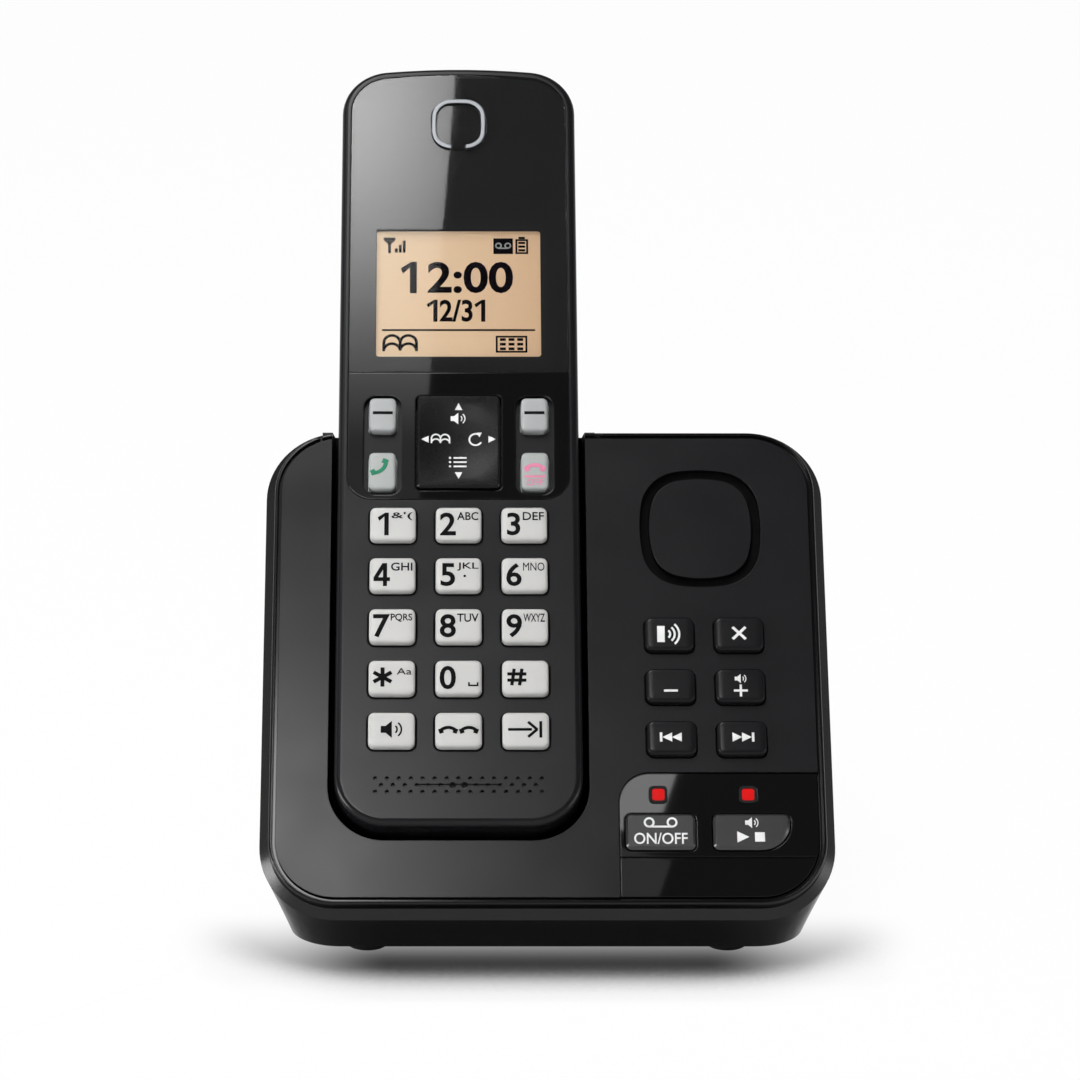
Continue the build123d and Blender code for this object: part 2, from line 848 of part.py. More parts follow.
def ring_outline(inset):
    """The loudspeaker ring's outline, shrunk by an inset."""
    shape = squircle(
        ring_width - 2 * inset,
        ring_height - 2 * inset,
        ring_bulge_share * ring_width,
        ring_corner_share * ring_width - inset,
    )
    return Pos(ring_offset, ring_rise) * shape


def control_outline(grow):
    """The gloss control panel: it follows the face's lower right corner and is round at the top left."""
    follow = face_outline(plate_inset + fit - grow)
    left = control_left - grow
    high = control_top + grow
    patch = Pos((left + base_width) / 2, (high - overrun) / 2) * Rectangle(base_width - left, high + overrun)
    shape = follow & patch
    corner = shape.vertices().group_by(Axis.Y)[-1].sort_by(Axis.X)[0]
    return fillet(corner, control_corner + grow)


def wide_key_outline(name, grow):
    """One of the wide keys in the control panel; the right one has a large lower right corner."""
    left, width = wide_key_spans[name]
    shape = Pos(left + width / 2, wide_key_rise) * Rectangle(width + 2 * grow, wide_key_height + 2 * grow)
    if name == "answer_key":
        return fillet(shape.vertices(), wide_key_corner + grow)
    tip = (left + width, wide_key_rise - wide_key_height / 2)
    shape = fillet(shape.vertices().sort_by_distance(tip)[1:], wide_key_corner + grow)
    corner = min(wide_key_big_corner_share * width, wide_key_big_corner_high_share * wide_key_height)
    return fillet(shape.vertices().sort_by_distance(tip)[0], corner + grow)


def lamp_outline(x, grow):
    """One square lamp in the control panel."""
    return rounded(lamp_size + 2 * grow, lamp_size + 2 * grow, lamp_corner + grow, x, lamp_rise)


def face_cuts():
    """Everything cut into the base's face, in the face's own frame."""
    groove = face_outline(groove_inset) - face_outline(groove_inset + groove_width)
    cuts = slab(groove, -overrun, groove_depth)
    cuts += slab(ring_outline(0) - ring_outline(ring_groove), -overrun, ring_depth)
    bridges = Rectangle(2 * ring_height, ring_bridge) + Rectangle(ring_bridge, 2 * ring_height)
    slot_inset = (ring_groove - ring_slot) / 2
    slots = ring_outline(slot_inset) - ring_outline(slot_inset + ring_slot)
    slots -= Pos(ring_offset, ring_rise) * Rot(0, 0, 45) * bridges
    cuts += slab(slots, -overrun, rim_height)
    for place in base_key_places.values():
        opening = rounded(
            base_key_width + 2 * slip, base_key_height + 2 * slip, base_key_corner + slip, *place
        )
        cuts += slab(opening, -overrun, rim_height)
    cuts += slab(control_outline(fit), -overrun, control_sunk + control_thickness)
    for name in wide_key_spans:
        cuts += slab(wide_key_outline(name, slip), -overrun, rim_height)
    for x in (lamp_left, lamp_right):
        cuts += slab(lamp_outline(x, fit), -overrun, rim_height)
    for side in (-1, 1):
        x = handset_offset + side * (tub_half + ear_width + ear_notch / 2)
        notch = Pos(x, face_length) * Rectangle(ear_notch, 2 * plate_inset)
        cuts += slab(notch, -overrun, rim_height / 2)
    return cuts


def base_top_cover():
    """The tilted top cover with the handset's cradle, the face's openings and its inner posts."""
    cover = slab(face_outline(0), 0, rim_height)
    cover = fillet(edges_at(cover, 0), rim_round)
    cover = chamfer(edges_at(cover, -rim_height), seam_chamfer)
    cover -= slab(face_outline(cover_wall), face_plate, rim_height + overrun)
    for x, y in board_post_places():
        cover += disc(board_post_radius, face_plate / 2, base_board_top_depth, x, y)
    collar = Pos(ring_offset, ring_rise) * (
        Circle(speaker_radius + fit + speaker_collar) - Circle(speaker_radius + fit)
    )
    cover += slab(collar & face_outline(cover_wall / 2), face_plate / 2, face_plate + speaker_collar_depth)
    cover = face_frame * (cover - face_cuts()) + cradle_tub()
    under_skin = wedge(face_plate / 2, foot_height, 0)
    for x, y, meet in base_screw_places():
        cover += upright(base_boss_radius, meet, meet + face_length, x, y) & under_skin
    cover -= face_frame * slab(cradle_outline(0), -overrun, tub_depth)
    for x, y, meet in base_screw_places():
        pilot = base_screw_length - base_screw_web + head_room
        cover -= upright(base_pilot_radius, meet - overrun, meet + pilot, x, y)
    for side in (-1, 1):
        stop = Pos(handset_offset + side * stop_spacing / 2, tub_foot + (dock_end_gap - seat) / 2)
        stop_back = tub_depth + tub_wall / 2
        cover += face_frame * slab(
            stop * Rectangle(stop_width, dock_end_gap - seat), handset_thickness / 2, stop_back
        )
        rail = Pos(handset_offset + side * rail_spacing / 2, handset_rise + rail_length)
        cover += face_frame * slab(
            rail * Rectangle(rail_width, rail_length), tub_depth - dock_back_gap + seat, tub_depth + tub_wall / 2
        )
        slot = Pos(handset_offset + side * charge_pad_offset, tub_foot - tub_wall / 2)
        depth = charge_pad_drop - handset_proud
        reach = leaf_span / 2 + leaf_slot_room
        cover -= face_frame * slab(
            slot * Rectangle(leaf_width + 2 * leaf_slot_room, 2 * tub_wall), depth - reach, depth + reach
        )
    return cover


def board_post_places():
    """Where posts carry the base's circuit board."""
    return [
        (x, y)
        for x in (base_board_left + board_post_inset, base_board_right - board_post_inset)
        for y in (board_post_low, board_post_high)
    ]


def base_bottom_case():
    """The wedge-shaped lower case: bosses, foot recesses, socket mouths and wall-hook keyholes."""
    case = wedge(rim_height, foot_height, 0)
    floor = foot_height + case_floor
    case -= wedge(rim_height, floor, case_wall)
    outer = wedge(rim_height, foot_height, 0)
    clear_tub = face_frame * slab(cradle_outline(tub_wall + fit), -overrun, tub_depth + tub_wall + fit)
    for x, y, meet in base_screw_places():
        case += upright(base_boss_radius, foot_height, meet - seat, x, y) & outer
        case -= upright(base_screw_radius + fit, foot_height - overrun, meet + overrun, x, y)
        head_seat = meet - base_screw_web
        case -= upright(base_screw_head_radius + head_room, foot_height - overrun, head_seat, x, y)
    case -= clear_tub
    for x, y in pad_places():
        case -= upright(pad_radius + fit, foot_height - overrun, foot_height + pad_recess, x, y)
    for offset, width, height, depth in socket_boxes():
        shelf_low = foot_height + case_floor / 2
        shelf = Box(width, depth, socket_sill - seat - shelf_low, align=(Align.CENTER, Align.MAX, Align.MIN))
        case += Pos(offset, back_wall - case_wall / 2, shelf_low) * shelf
        mouth = Box(
            width + 2 * fit, 2 * overrun, height + 2 * fit, align=(Align.CENTER, Align.CENTER, Align.MIN)
        )
        case -= Pos(offset, back_wall, socket_sill - fit) * mouth
    for side in (-1, 1):
        hole = Pos(side * keyhole_spacing / 2, keyhole_height) * Circle(keyhole_radius)
        slot = Pos(side * keyhole_spacing / 2, keyhole_height + keyhole_slot_length / 2) * Rectangle(
            keyhole_slot_width, keyhole_slot_length
        )
        slot_end = Pos(side * keyhole_spacing / 2, keyhole_height + keyhole_slot_length) * Circle(
            keyhole_slot_width / 2
        )
        upright_plane = Plane(origin=(0, back_wall, 0), x_dir=(-1, 0, 0), z_dir=(0, 1, 0))
        case -= extrude(upright_plane * (hole + slot + slot_end), amount=overrun, both=True)
    return case


def pad_places():
    """Where the four feet stand."""
    return [
        (side * pad_offset, y)
        for side in (-1, 1)
        for y in (foot_setback + pad_inset, back_wall - pad_inset)
    ]


def socket_boxes():
    """Middle, width, height and depth of each socket in the back wall."""
    return [
        (line_socket_offset, line_socket_width, line_socket_height, line_socket_depth),
        (power_socket_offset, power_socket_width, power_socket_height, power_socket_depth),
    ]


def socket_body(width, height, depth, mouth_width, mouth_height, mouth_depth):
    """A socket's block, flush with the back wall and hollow behind its mouth."""
    body = Box(width, depth, height, align=(Align.CENTER, Align.MAX, Align.MIN))
    hollow = Box(mouth_width, mouth_depth + overrun, mouth_height, align=(Align.CENTER, Align.MAX, Align.CENTER))
    return body - Pos(0, overrun, height / 2) * hollow


def line_socket():
    """The line socket, with the keyway for the plug's latch."""
    body = socket_body(
        line_socket_width,
        line_socket_height,
        line_socket_depth,
        line_mouth_width,
        line_mouth_height,
        line_mouth_depth,
    )
    keyway = Box(
        line_latch_width, line_mouth_depth + overrun, line_latch_height, align=(Align.CENTER, Align.MAX, Align.MAX)
    )
    body -= Pos(0, overrun, (line_socket_height - line_mouth_height) / 2) * keyway
    return Pos(line_socket_offset, back_wall, socket_sill) * body


def power_socket():
    """The power socket, with its centre pin."""
    body = socket_body(
        power_socket_width,
        power_socket_height,
        power_socket_depth,
        power_mouth_width,
        power_mouth_height,
        power_mouth_depth,
    )
    pin = Rot(90, 0, 0) * Cylinder(power_pin_radius, power_pin_length)
    body += Pos(0, -power_mouth_depth + power_pin_length / 2 - seat, power_socket_height / 2) * pin
    return Pos(power_socket_offset, back_wall, socket_sill) * body


def base_key(outline, flange, proud, edge):
    """A base key: cap, flange under the cover and a stem on the mat."""
    place = outline.center()
    key = key_cap(outline, proud, edge, base_flange_top + base_key_flange_depth)
    key += slab(flange, base_flange_top, base_flange_top + base_key_flange_depth)
    return key + disc(base_key_stem_radius, base_flange_top, base_key_foot_depth, place.X, place.Y)


def base_key_mat():
    """The rubber mat under the base's keys, with one plunger for each stem."""
    places = list(base_key_places.values())
    places += [(left + width / 2, wide_key_rise) for left, width in wide_key_spans.values()]
    height = base_board_high - base_board_low
    sheet = rounded(
        board_width,
        height,
        base_board_corner,
        base_board_left + board_width / 2,
        base_board_low + height / 2,
    )
    for x, y in board_post_places():
        sheet -= Pos(x, y) * Circle(board_post_radius + fit)
    for x in (lamp_left, lamp_right):
        sheet -= lamp_outline(x, fit)
    mat = slab(sheet, base_mat_top_depth, base_board_top_depth)
    return mat + [disc(plunger_radius, base_key_foot_depth + seat, base_mat_top_depth, *at) for at in places]


def base_circuit_board():
    """The base's circuit board, under the mat and on the cover's posts."""
    height = base_board_high - base_board_low
    outline = rounded(
        board_width,
        height,
        base_board_corner,
        base_board_left + board_width / 2,
        base_board_low + height / 2,
    )
    return slab(outline, base_board_top_depth + seat, base_board_top_depth + base_board_depth)


def base_control_panel():
    """The gloss panel, open for the lamps and the wide keys, with a line above its lower strip."""
    panel = slab(control_outline(0), control_sunk, control_sunk + control_thickness - seat)
    for name in wide_key_spans:
        panel -= slab(wide_key_outline(name, slip), -overrun, rim_height)
    for x in (lamp_left, lamp_right):
        panel -= slab(lamp_outline(x, fit), -overrun, rim_height)
    line = Pos((control_left + base_width) / 2, strip_line_rise) * Rectangle(
        base_width - control_left, strip_line_width
    )
    return panel - slab(line, -overrun, control_sunk + strip_line_depth)


def indicator_lenses():
    """Two square light guides that reach from the panel down to the circuit board."""
    lenses = []
    for x in (lamp_left, lamp_right):
        guide = slab(lamp_outline(x, 0), control_sunk - lamp_proud, base_board_top_depth)
        collar = slab(lamp_outline(x, lamp_flange), base_flange_top, base_flange_top + lamp_flange_depth)
        lenses.append(guide + collar)
    return group(lenses)


def base_speaker():
    """The base's loudspeaker: rim, cone basket and magnet."""
    top = face_plate + seat
    rim = disc(speaker_radius, top, top + speaker_rim_depth)
    cone_top = top + speaker_rim_depth
    cone = Pos(0, 0, -cone_top - speaker_cone_depth / 2) * Cone(
        speaker_magnet_radius, speaker_radius - speaker_collar, speaker_cone_depth
    )
    magnet_top = cone_top + speaker_cone_depth
    magnet = disc(speaker_magnet_radius, magnet_top, magnet_top + speaker_magnet_depth)
    return Pos(ring_offset, ring_rise) * (rim + cone + magnet)


def charge_contacts():
    """Two leaf springs that reach through the cradle's end to the handset's pads."""
    root = tub_foot - tub_wall - seat
    crest = handset_rise - seat
    middle = -charge_pad_drop + handset_proud
    half = leaf_span / 2
    bow = make_face(
        [
            ThreePointArc((root, middle - half), (crest, middle), (root, middle + half)),
            Line((root, middle + half), (root, middle + half - leaf_sheet)),
            ThreePointArc(
                (root, middle + half - leaf_sheet),
                (crest - leaf_sheet, middle),
                (root, middle - half + leaf_sheet),
            ),
            Line((root, middle - half + leaf_sheet), (root, middle - half)),
        ]
    )
    tail = Pos(root - leaf_sheet / 2, middle - half - (leaf_tail - leaf_sheet) / 2) * Rectangle(
        leaf_sheet, leaf_tail + leaf_sheet
    )
    side_plane = Plane(origin=(0, 0, 0), x_dir=(0, 1, 0), z_dir=(1, 0, 0))
    leaf = extrude(side_plane * (bow + tail), amount=leaf_width / 2, both=True)
    return group(
        Pos(handset_offset + side * charge_pad_offset, 0, 0) * leaf for side in (-1, 1)
    )


def base_screws():
    """Four long-reach screws, driven up through the case into the cover's posts."""
    screws = []
    for x, y, meet in base_screw_places():
        head_seat = meet - base_screw_web
        shank = upright(base_screw_radius, head_seat, head_seat + base_screw_length, x, y)
        screws.append(
            shank + upright(base_screw_head_radius, head_seat - base_screw_head_depth, head_seat, x, y)
        )
    return group(screws)


def rubber_feet():
    """Four round feet in shallow recesses."""
    return group(upright(pad_radius, 0, foot_height + pad_recess - seat, x, y) for x, y in pad_places())


# Every piece in the frame that it is drawn in
handset_pieces = {
    "handset_front_case": handset_front_case(),
    "handset_rear_case": handset_rear_case(),
    "battery_cover": battery_cover(),
    "display_lens": display_lens(),
    "control_bezel": control_bezel(),
    "earpiece_ring": earpiece_ring(),
    "earpiece_receiver": disc(
        receiver_radius, shell_wall + seat, shell_wall + receiver_depth, 0, earpiece_rise
    ),
    "lcd_module": slab(display_outline(), shell_wall + seat, shell_wall + display_depth),
    "lcd_backlight": slab(
        display_outline(), shell_wall + display_depth, shell_wall + display_depth + backlight_depth
    ),
    "handset_circuit_board": handset_circuit_board(),
    "handset_key_mat": handset_key_mat(),
    "handset_microphone": disc(
        microphone_radius, shell_wall + seat, shell_wall + microphone_depth, 0, grille_rise
    ),
    "handset_loudspeaker": handset_loudspeaker(),
    "battery_cells": battery_cells(),
    "battery_contacts": battery_contacts(),
    "handset_charge_contacts": group(charge_pads(0)),
    "handset_screws": handset_screws(),
    "navigator_key": navigator_key(),
    "navigator_pivot": navigator_pivot(),
}
for name, (width, height, corner, place, proud) in handset_key_fields.items():
    handset_pieces[name] = handset_key(
        rounded(width, height, corner, *place),
        Pos(*place) * Rectangle(width + 2 * key_flange, height + 2 * key_flange),
        proud,
    )
face_pieces = {
    "base_control_panel": base_control_panel(),
    "indicator_lenses": indicator_lenses(),
    "base_speaker": base_speaker(),
    "base_circuit_board": base_circuit_board(),
    "base_key_mat": base_key_mat(),
    "charge_contacts": charge_contacts(),
}
for name, place in base_key_places.items():
    face_pieces[name] = base_key(
        rounded(base_key_width, base_key_height, base_key_corner, *place),
        Pos(*place) * Rectangle(base_key_width + 2 * base_key_flange, base_key_height + 2 * base_key_flange),
        base_key_proud,
        base_key_edge,
    )
for name, (left, width) in wide_key_spans.items():
    flange = Pos(left + width / 2, wide_key_rise) * Rectangle(width, wide_key_height + 2 * base_key_flange)
    face_pieces[name] = base_key(
        wide_key_outline(name, 0), flange, wide_key_proud - control_sunk, base_key_edge
    )
table_pieces = {
    "base_top_cover": base_top_cover(),
    "base_bottom_case": base_bottom_case(),
    "power_socket": power_socket(),
    "line_socket": line_socket(),
    "rubber_feet": rubber_feet(),
    "base_screws": base_screws(),
}

pieces = {name: handset_frame * piece for name, piece in handset_pieces.items()}
pieces.update({name: face_frame * piece for name, piece in face_pieces.items()})
pieces.update(table_pieces)

# The origin lies on the table below the middle of the whole telephone
front = min(piece.bounding_box().min.Y for piece in pieces.values())
back = max(piece.bounding_box().max.Y for piece in pieces.values())
centring = Pos(0, -(front + back) / 2, 0)

os.makedirs("parts", exist_ok=True)
for name, piece in pieces.items():
    export_step(centring * piece, os.path.join("parts", name + ".step"))
print("moved along Y by", round(-(front + back) / 2, 4))
print("back wall at", round(back_wall - (front + back) / 2, 4))
pivot_centre = centring * handset_frame * Pos(0, navigator_rise, -mat_top_depth)
print("navigator pivot at", tuple(round(value, 4) for value in pivot_centre.position))
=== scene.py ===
"""Looks of a cordless telephone: a slim handset in the cradle of an answering base.

Sizes are written in millimetres and turned to metres when a piece is placed. Two working planes
carry most pieces: the tilted face of the base and the front of the handset. In both, x runs to
the right, y up the face and z out of it.
"""

import json
import logging
import math
from collections.abc import Callable
from dataclasses import dataclass, field
from enum import Enum

import bmesh
import bpy
from mathutils import Matrix, Vector

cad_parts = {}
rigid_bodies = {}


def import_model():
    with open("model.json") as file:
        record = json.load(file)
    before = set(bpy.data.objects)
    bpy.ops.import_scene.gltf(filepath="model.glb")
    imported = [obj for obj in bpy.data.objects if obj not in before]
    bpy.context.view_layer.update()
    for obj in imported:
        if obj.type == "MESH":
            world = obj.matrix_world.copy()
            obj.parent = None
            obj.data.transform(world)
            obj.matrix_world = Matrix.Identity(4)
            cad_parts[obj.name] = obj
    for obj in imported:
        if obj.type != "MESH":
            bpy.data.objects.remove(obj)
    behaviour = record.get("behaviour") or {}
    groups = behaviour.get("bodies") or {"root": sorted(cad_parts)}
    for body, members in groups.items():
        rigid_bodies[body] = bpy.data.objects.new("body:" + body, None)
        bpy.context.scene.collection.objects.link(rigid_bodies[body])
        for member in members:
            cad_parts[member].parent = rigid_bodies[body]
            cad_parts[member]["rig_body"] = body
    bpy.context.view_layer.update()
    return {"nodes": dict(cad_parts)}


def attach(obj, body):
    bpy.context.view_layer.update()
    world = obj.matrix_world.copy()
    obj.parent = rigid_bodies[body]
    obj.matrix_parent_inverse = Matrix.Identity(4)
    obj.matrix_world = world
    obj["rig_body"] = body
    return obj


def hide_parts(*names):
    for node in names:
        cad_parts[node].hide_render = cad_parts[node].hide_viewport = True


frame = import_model()
log = logging.getLogger("telephone")

MM = 0.001
FACE_TILT = math.radians(48.0)
FACE_FRONT = (0.0, -66.8914, 12.0)  # the face's front edge, in the middle of the base
HANDSET_PLACE = (-17.1, 14.8, 3.5)  # the handset's lower end, on the face
BASE_BODY = "base"
HANDSET_BODY = "handset"
SHARP = 32.0  # the angle in degrees from which an edge is a crease
CAP_SHARP = 50.0  # the same on a key's cap, whose rounded edge has few faces
FLAT_BEND = 0.5  # the angle in degrees up to which two faces are one flat region
MERGE_GAP = 0.0005  # points nearer than this are one
JOIN_GAP = 0.002  # the same in a copy of a solid
PATCH_SIZE = 14.0  # of the broad patches in which dullness varies
DULL_SHARE = 0.1  # how much it varies there
NOISE_SPAN = (0.3, 0.7)  # the values that most of a noise lies between
MATH = "ShaderNodeMath"
RANGE = "ShaderNodeMapRange"

Point = tuple[float, float]
Place = tuple[float, float, float]
Colour = tuple[float, float, float, float]
Outline = list[Point]
Surface = Callable[[float, float], float]
KeyRows = tuple[tuple[str, ...], ...]

room_plane = Matrix.Scale(MM, 4)
face_plane = room_plane @ Matrix.Translation(FACE_FRONT) @ Matrix.Rotation(FACE_TILT, 4, "X")
handset_plane = face_plane @ Matrix.Translation(HANDSET_PLACE)


class Facing(Enum):
    """Which way a printed arrow points, as a turn from pointing right."""

    RIGHT = 0.0
    UP = math.pi / 2
    LEFT = math.pi
    DOWN = -math.pi / 2


# Finishes


def linear(tint: str) -> Colour:
    """Turns an sRGB hex colour into linear light.

    Args:
        tint: the colour as "#RRGGBB".

    Returns:
        Red, green, blue and an alpha of one.
    """
    parts = [int(tint[at : at + 2], 16) / 255 for at in (1, 3, 5)]
    light = [part / 12.92 if part <= 0.04045 else ((part + 0.055) / 1.055) ** 2.4 for part in parts]
    return light[0], light[1], light[2], 1.0


def shaded(tint: str, share: float) -> Colour:
    """A hex colour in linear light, made lighter or darker by a share."""
    red, green, blue, alpha = linear(tint)
    return red * (1 + share), green * (1 + share), blue * (1 + share), alpha


def per_size(size: float) -> float:
    """The scale that repeats a pattern once in a size in millimetres, on coordinates in metres."""
    return 1 / (size * MM)


def feed(node: bpy.types.Node, inputs: dict) -> bpy.types.Node:
    """Gives a node its settings and links.

    Args:
        node: the node.
        inputs: a value by the name of an attribute, or a value or an output socket by the name or
            number of an input.

    Returns:
        The same node.
    """
    for key, value in inputs.items():
        if isinstance(key, str) and hasattr(node, key):
            setattr(node, key, value)
        elif isinstance(value, bpy.types.NodeSocket):
            node.id_data.links.new(value, node.inputs[key])
        else:
            node.inputs[key].default_value = value
    return node


def add_node(tree: bpy.types.NodeTree, kind: str, inputs: dict | None = None) -> bpy.types.Node:
    """Adds a node of a kind to a tree and feeds it."""
    return feed(tree.nodes.new(kind), inputs or {})


def soft_step(source: bpy.types.NodeSocket, start: float, end: float) -> dict:
    """What a mapped range is fed for a soft step from 0 to 1 between two values."""
    return {"interpolation_type": "SMOOTHSTEP", "Value": source, "From Min": start, "From Max": end}


@dataclass(frozen=True)
class Finish:
    """A surface finish, named for its real material.

    Attributes:
        name: what the material is.
        tint: its colour.
        roughness: how dull it is, from 0 to 1.
        grain: the size of its finest visible pattern.
        relief: the height of that pattern.
        mottle: how much its colour varies, as a share.
        soft_edge: the radius that its sharp edges seem to have.
        specular: how strongly it shines, where a half is usual.
    """

    name: str
    tint: str
    roughness: float
    grain: float = 0.4
    relief: float = 0.01
    mottle: float = 0.06
    soft_edge: float = 0.18
    specular: float = 0.5

    def make(self) -> bpy.types.Material:
        """The finish as a material, made once.

        Returns:
            The material.
        """
        material = bpy.data.materials.get(self.name)
        if not material:
            material = bpy.data.materials.new(self.name)
            material.use_nodes = True
            material.diffuse_color = linear(self.tint)
            self.dress(material.node_tree, material.node_tree.nodes["Principled BSDF"])
        return material

    def dress(self, tree: bpy.types.NodeTree, shader: bpy.types.Node) -> None:
        """Gives the shader its mottled colour, its uneven dullness and its relief.

        Args:
            tree: the material's nodes.
            shader: its main shader.
        """
        place = add_node(tree, "ShaderNodeTexCoord").outputs["Object"]
        fine, broad = (
            add_node(tree, "ShaderNodeTexNoise", scale | {"Vector": place}).outputs["Fac"]
            for scale in (
                {"Scale": per_size(self.grain), "Detail": 3.0},
                {"Scale": per_size(PATCH_SIZE), "Detail": 2.0},
            )
        )
        dark, light = shaded(self.tint, -self.mottle), shaded(self.tint, self.mottle)
        colour = add_node(tree, "ShaderNodeMix", {"data_type": "RGBA", 0: fine, 6: dark, 7: light})
        spread = {"Value": broad, "From Min": NOISE_SPAN[0], "From Max": NOISE_SPAN[1]}
        spread |= {"To Min": self.roughness * (1 - DULL_SHARE)}
        spread |= {"To Max": min(1.0, self.roughness * (1 + DULL_SHARE))}
        dull = add_node(tree, RANGE, spread)
        edge = add_node(tree, "ShaderNodeBevel", {"samples": 4, "Radius": self.soft_edge * MM})
        height = {"Height": fine, "Distance": self.relief * MM, "Strength": 1.0}
        bump = add_node(tree, "ShaderNodeBump", height | {"Normal": edge.outputs["Normal"]})
        feed(
            shader,
            {
                "Base Color": colour.outputs[2],
                "Roughness": dull.outputs["Result"],
                "Normal": bump.outputs["Normal"],
                "Specular IOR Level": self.specular,
            },
        )


@dataclass(frozen=True)
class GlossFinish(Finish):
    """Smooth plastic under a clear coat."""

    coat: float = 1.0
    coat_roughness: float = 0.02

    def dress(self, tree: bpy.types.NodeTree, shader: bpy.types.Node) -> None:
        """Adds the clear coat to the plain finish."""
        super().dress(tree, shader)
        feed(shader, {"Coat Weight": self.coat, "Coat Roughness": self.coat_roughness})


@dataclass(frozen=True)
class MetalFinish(Finish):
    """Bare or plated metal."""

    def dress(self, tree: bpy.types.NodeTree, shader: bpy.types.Node) -> None:
        """Turns the plain finish into metal."""
        super().dress(tree, shader)
        feed(shader, {"Metallic": 1.0})


@dataclass(frozen=True)
class ClearFinish(Finish):
    """Clear moulded acrylic, with an anti-reflective coat over a window on the handset's front.

    Attributes:
        window: how far up the coat's middle lies, its width and its height.
        window_edge: half the width of the coat's soft edge.
        index: the acrylic's index of refraction.
        coated_index: the lower index that stands for the coat.
    """

    window: Place = (114.7, 33.3, 28.7)
    window_edge: float = 0.2
    index: float = 1.49
    coated_index: float = 1.17

    def dress(self, tree: bpy.types.NodeTree, shader: bpy.types.Node) -> None:
        """Makes the plain finish see-through.

        Args:
            tree: the material's nodes.
            shader: its main shader.
        """
        super().dress(tree, shader)
        rise, width, height = self.window
        onto = {"vector_type": "TEXTURE", "Location": handset_plane @ Vector((0.0, rise, 0.0))}
        onto |= {"Rotation": (FACE_TILT, 0.0, 0.0), "Scale": (MM, MM, MM)}
        place = add_node(tree, "ShaderNodeTexCoord").outputs["Object"]
        flat = add_node(tree, "ShaderNodeMapping", onto | {"Vector": place}).outputs["Vector"]
        axes = add_node(tree, "ShaderNodeSeparateXYZ", {0: flat}).outputs
        indices = {"operation": "MAXIMUM"}
        for at, (axis, size) in enumerate((("X", width), ("Y", height))):
            away = add_node(tree, MATH, {"operation": "ABSOLUTE", 0: axes[axis]}).outputs[0]
            edge = {"From Min": size / 2 - self.window_edge, "From Max": size / 2 + self.window_edge}
            edge |= {"To Min": self.coated_index, "To Max": self.index, "Value": away}
            indices[at] = add_node(tree, RANGE, edge).outputs["Result"]
        index = add_node(tree, MATH, indices).outputs[0]
        feed(shader, {"Transmission Weight": 1.0, "IOR": index})


@dataclass(frozen=True)
class LampFinish(Finish):
    """Tinted light-guide plastic, lit from behind."""

    glow: float = 0.5

    def dress(self, tree: bpy.types.NodeTree, shader: bpy.types.Node) -> None:
        """Adds the glow to the plain finish."""
        super().dress(tree, shader)
        feed(shader, {"Emission Color": linear(self.tint), "Emission Strength": self.glow})


@dataclass(frozen=True)
class DisplayFinish(Finish):
    """A backlit liquid-crystal panel: paler where the lamp is, with a faint grid of dots.

    Attributes:
        far_tint: its colour on the side away from the lamp.
        reach: how far from the middle the colour still changes.
        gap: the width of the lines between the dots.
        glow: how strongly it is lit.
    """

    far_tint: str = "#B99B7D"
    reach: float = 15.0
    gap: float = 0.04
    glow: float = 0.8

    def dress(self, tree: bpy.types.NodeTree, shader: bpy.types.Node) -> None:
        """Lays the dot grid over a colour that runs from the lamp's side to the far side.

        Args:
            tree: the material's nodes.
            shader: its main shader.
        """
        flat = add_node(tree, "ShaderNodeUVMap", {"uv_map": "millimetres"}).outputs["UV"]
        across = add_node(tree, "ShaderNodeSeparateXYZ", {0: flat}).outputs["X"]
        span = {"Value": across, "From Min": -self.reach, "From Max": self.reach}
        share = add_node(tree, RANGE, span).outputs["Result"]
        tints = {"data_type": "RGBA", 0: share, 6: linear(self.tint), 7: linear(self.far_tint)}
        wash = add_node(tree, "ShaderNodeMix", tints).outputs[2]
        grid = {"offset": 0.0, "Vector": flat, "Scale": 1.0, "Mortar Size": self.gap}
        grid |= {"Brick Width": self.grain, "Row Height": self.grain}
        for part, light in (("Mortar", 0.9), ("Color1", 1.0), ("Color2", 0.99)):
            grid[part] = (light, light, light, 1.0)
        dots = add_node(tree, "ShaderNodeTexBrick", grid).outputs["Color"]
        both = {"data_type": "RGBA", "blend_type": "MULTIPLY", 0: 1.0, 6: wash, 7: dots}
        colour = add_node(tree, "ShaderNodeMix", both).outputs[2]
        feed(
            shader,
            {
                "Base Color": colour,
                "Emission Color": colour,
                "Emission Strength": self.glow,
                "Roughness": self.roughness,
                "Specular IOR Level": self.specular,
            },
        )


# Spark-eroded ABS: a satin skin of tiny pits, drawn coarser than the real 0.1 mm so that it shows
BASE_SHELL = Finish("abs_spark_textured_charcoal", "#18181A", 0.2, grain=0.35, relief=0.003, specular=0.2)
HANDSET_SHELL = Finish("abs_spark_textured_black", "#171719", 0.22, grain=0.35, relief=0.003, specular=0.18)
# Plain moulded ABS of the wedge under the face, with a stronger shine; its colour is darker than the
# face's, partly as painted shade on its downward-facing walls
BASE_CASE = Finish("abs_moulded_black_and_painted_shade", "#0F0F10", 0.24, grain=0.35, relief=0.003, specular=0.3)
# The cover's polished rim, its colour painted darker than the cover as shade along its edge, and the floors
# of its hollows painted near black as shade, since little light reaches them
RIM_POLISH_AND_SHADE = Finish(
    "abs_polished_black_and_painted_shade", "#050506", 0.12, grain=0.6, relief=0.001, soft_edge=0.3, specular=0.3
)
PAINTED_SHADE_BLACK = Finish("painted_shade_dull_black", "#060607", 0.7, grain=0.35, relief=0.01, specular=0.05)
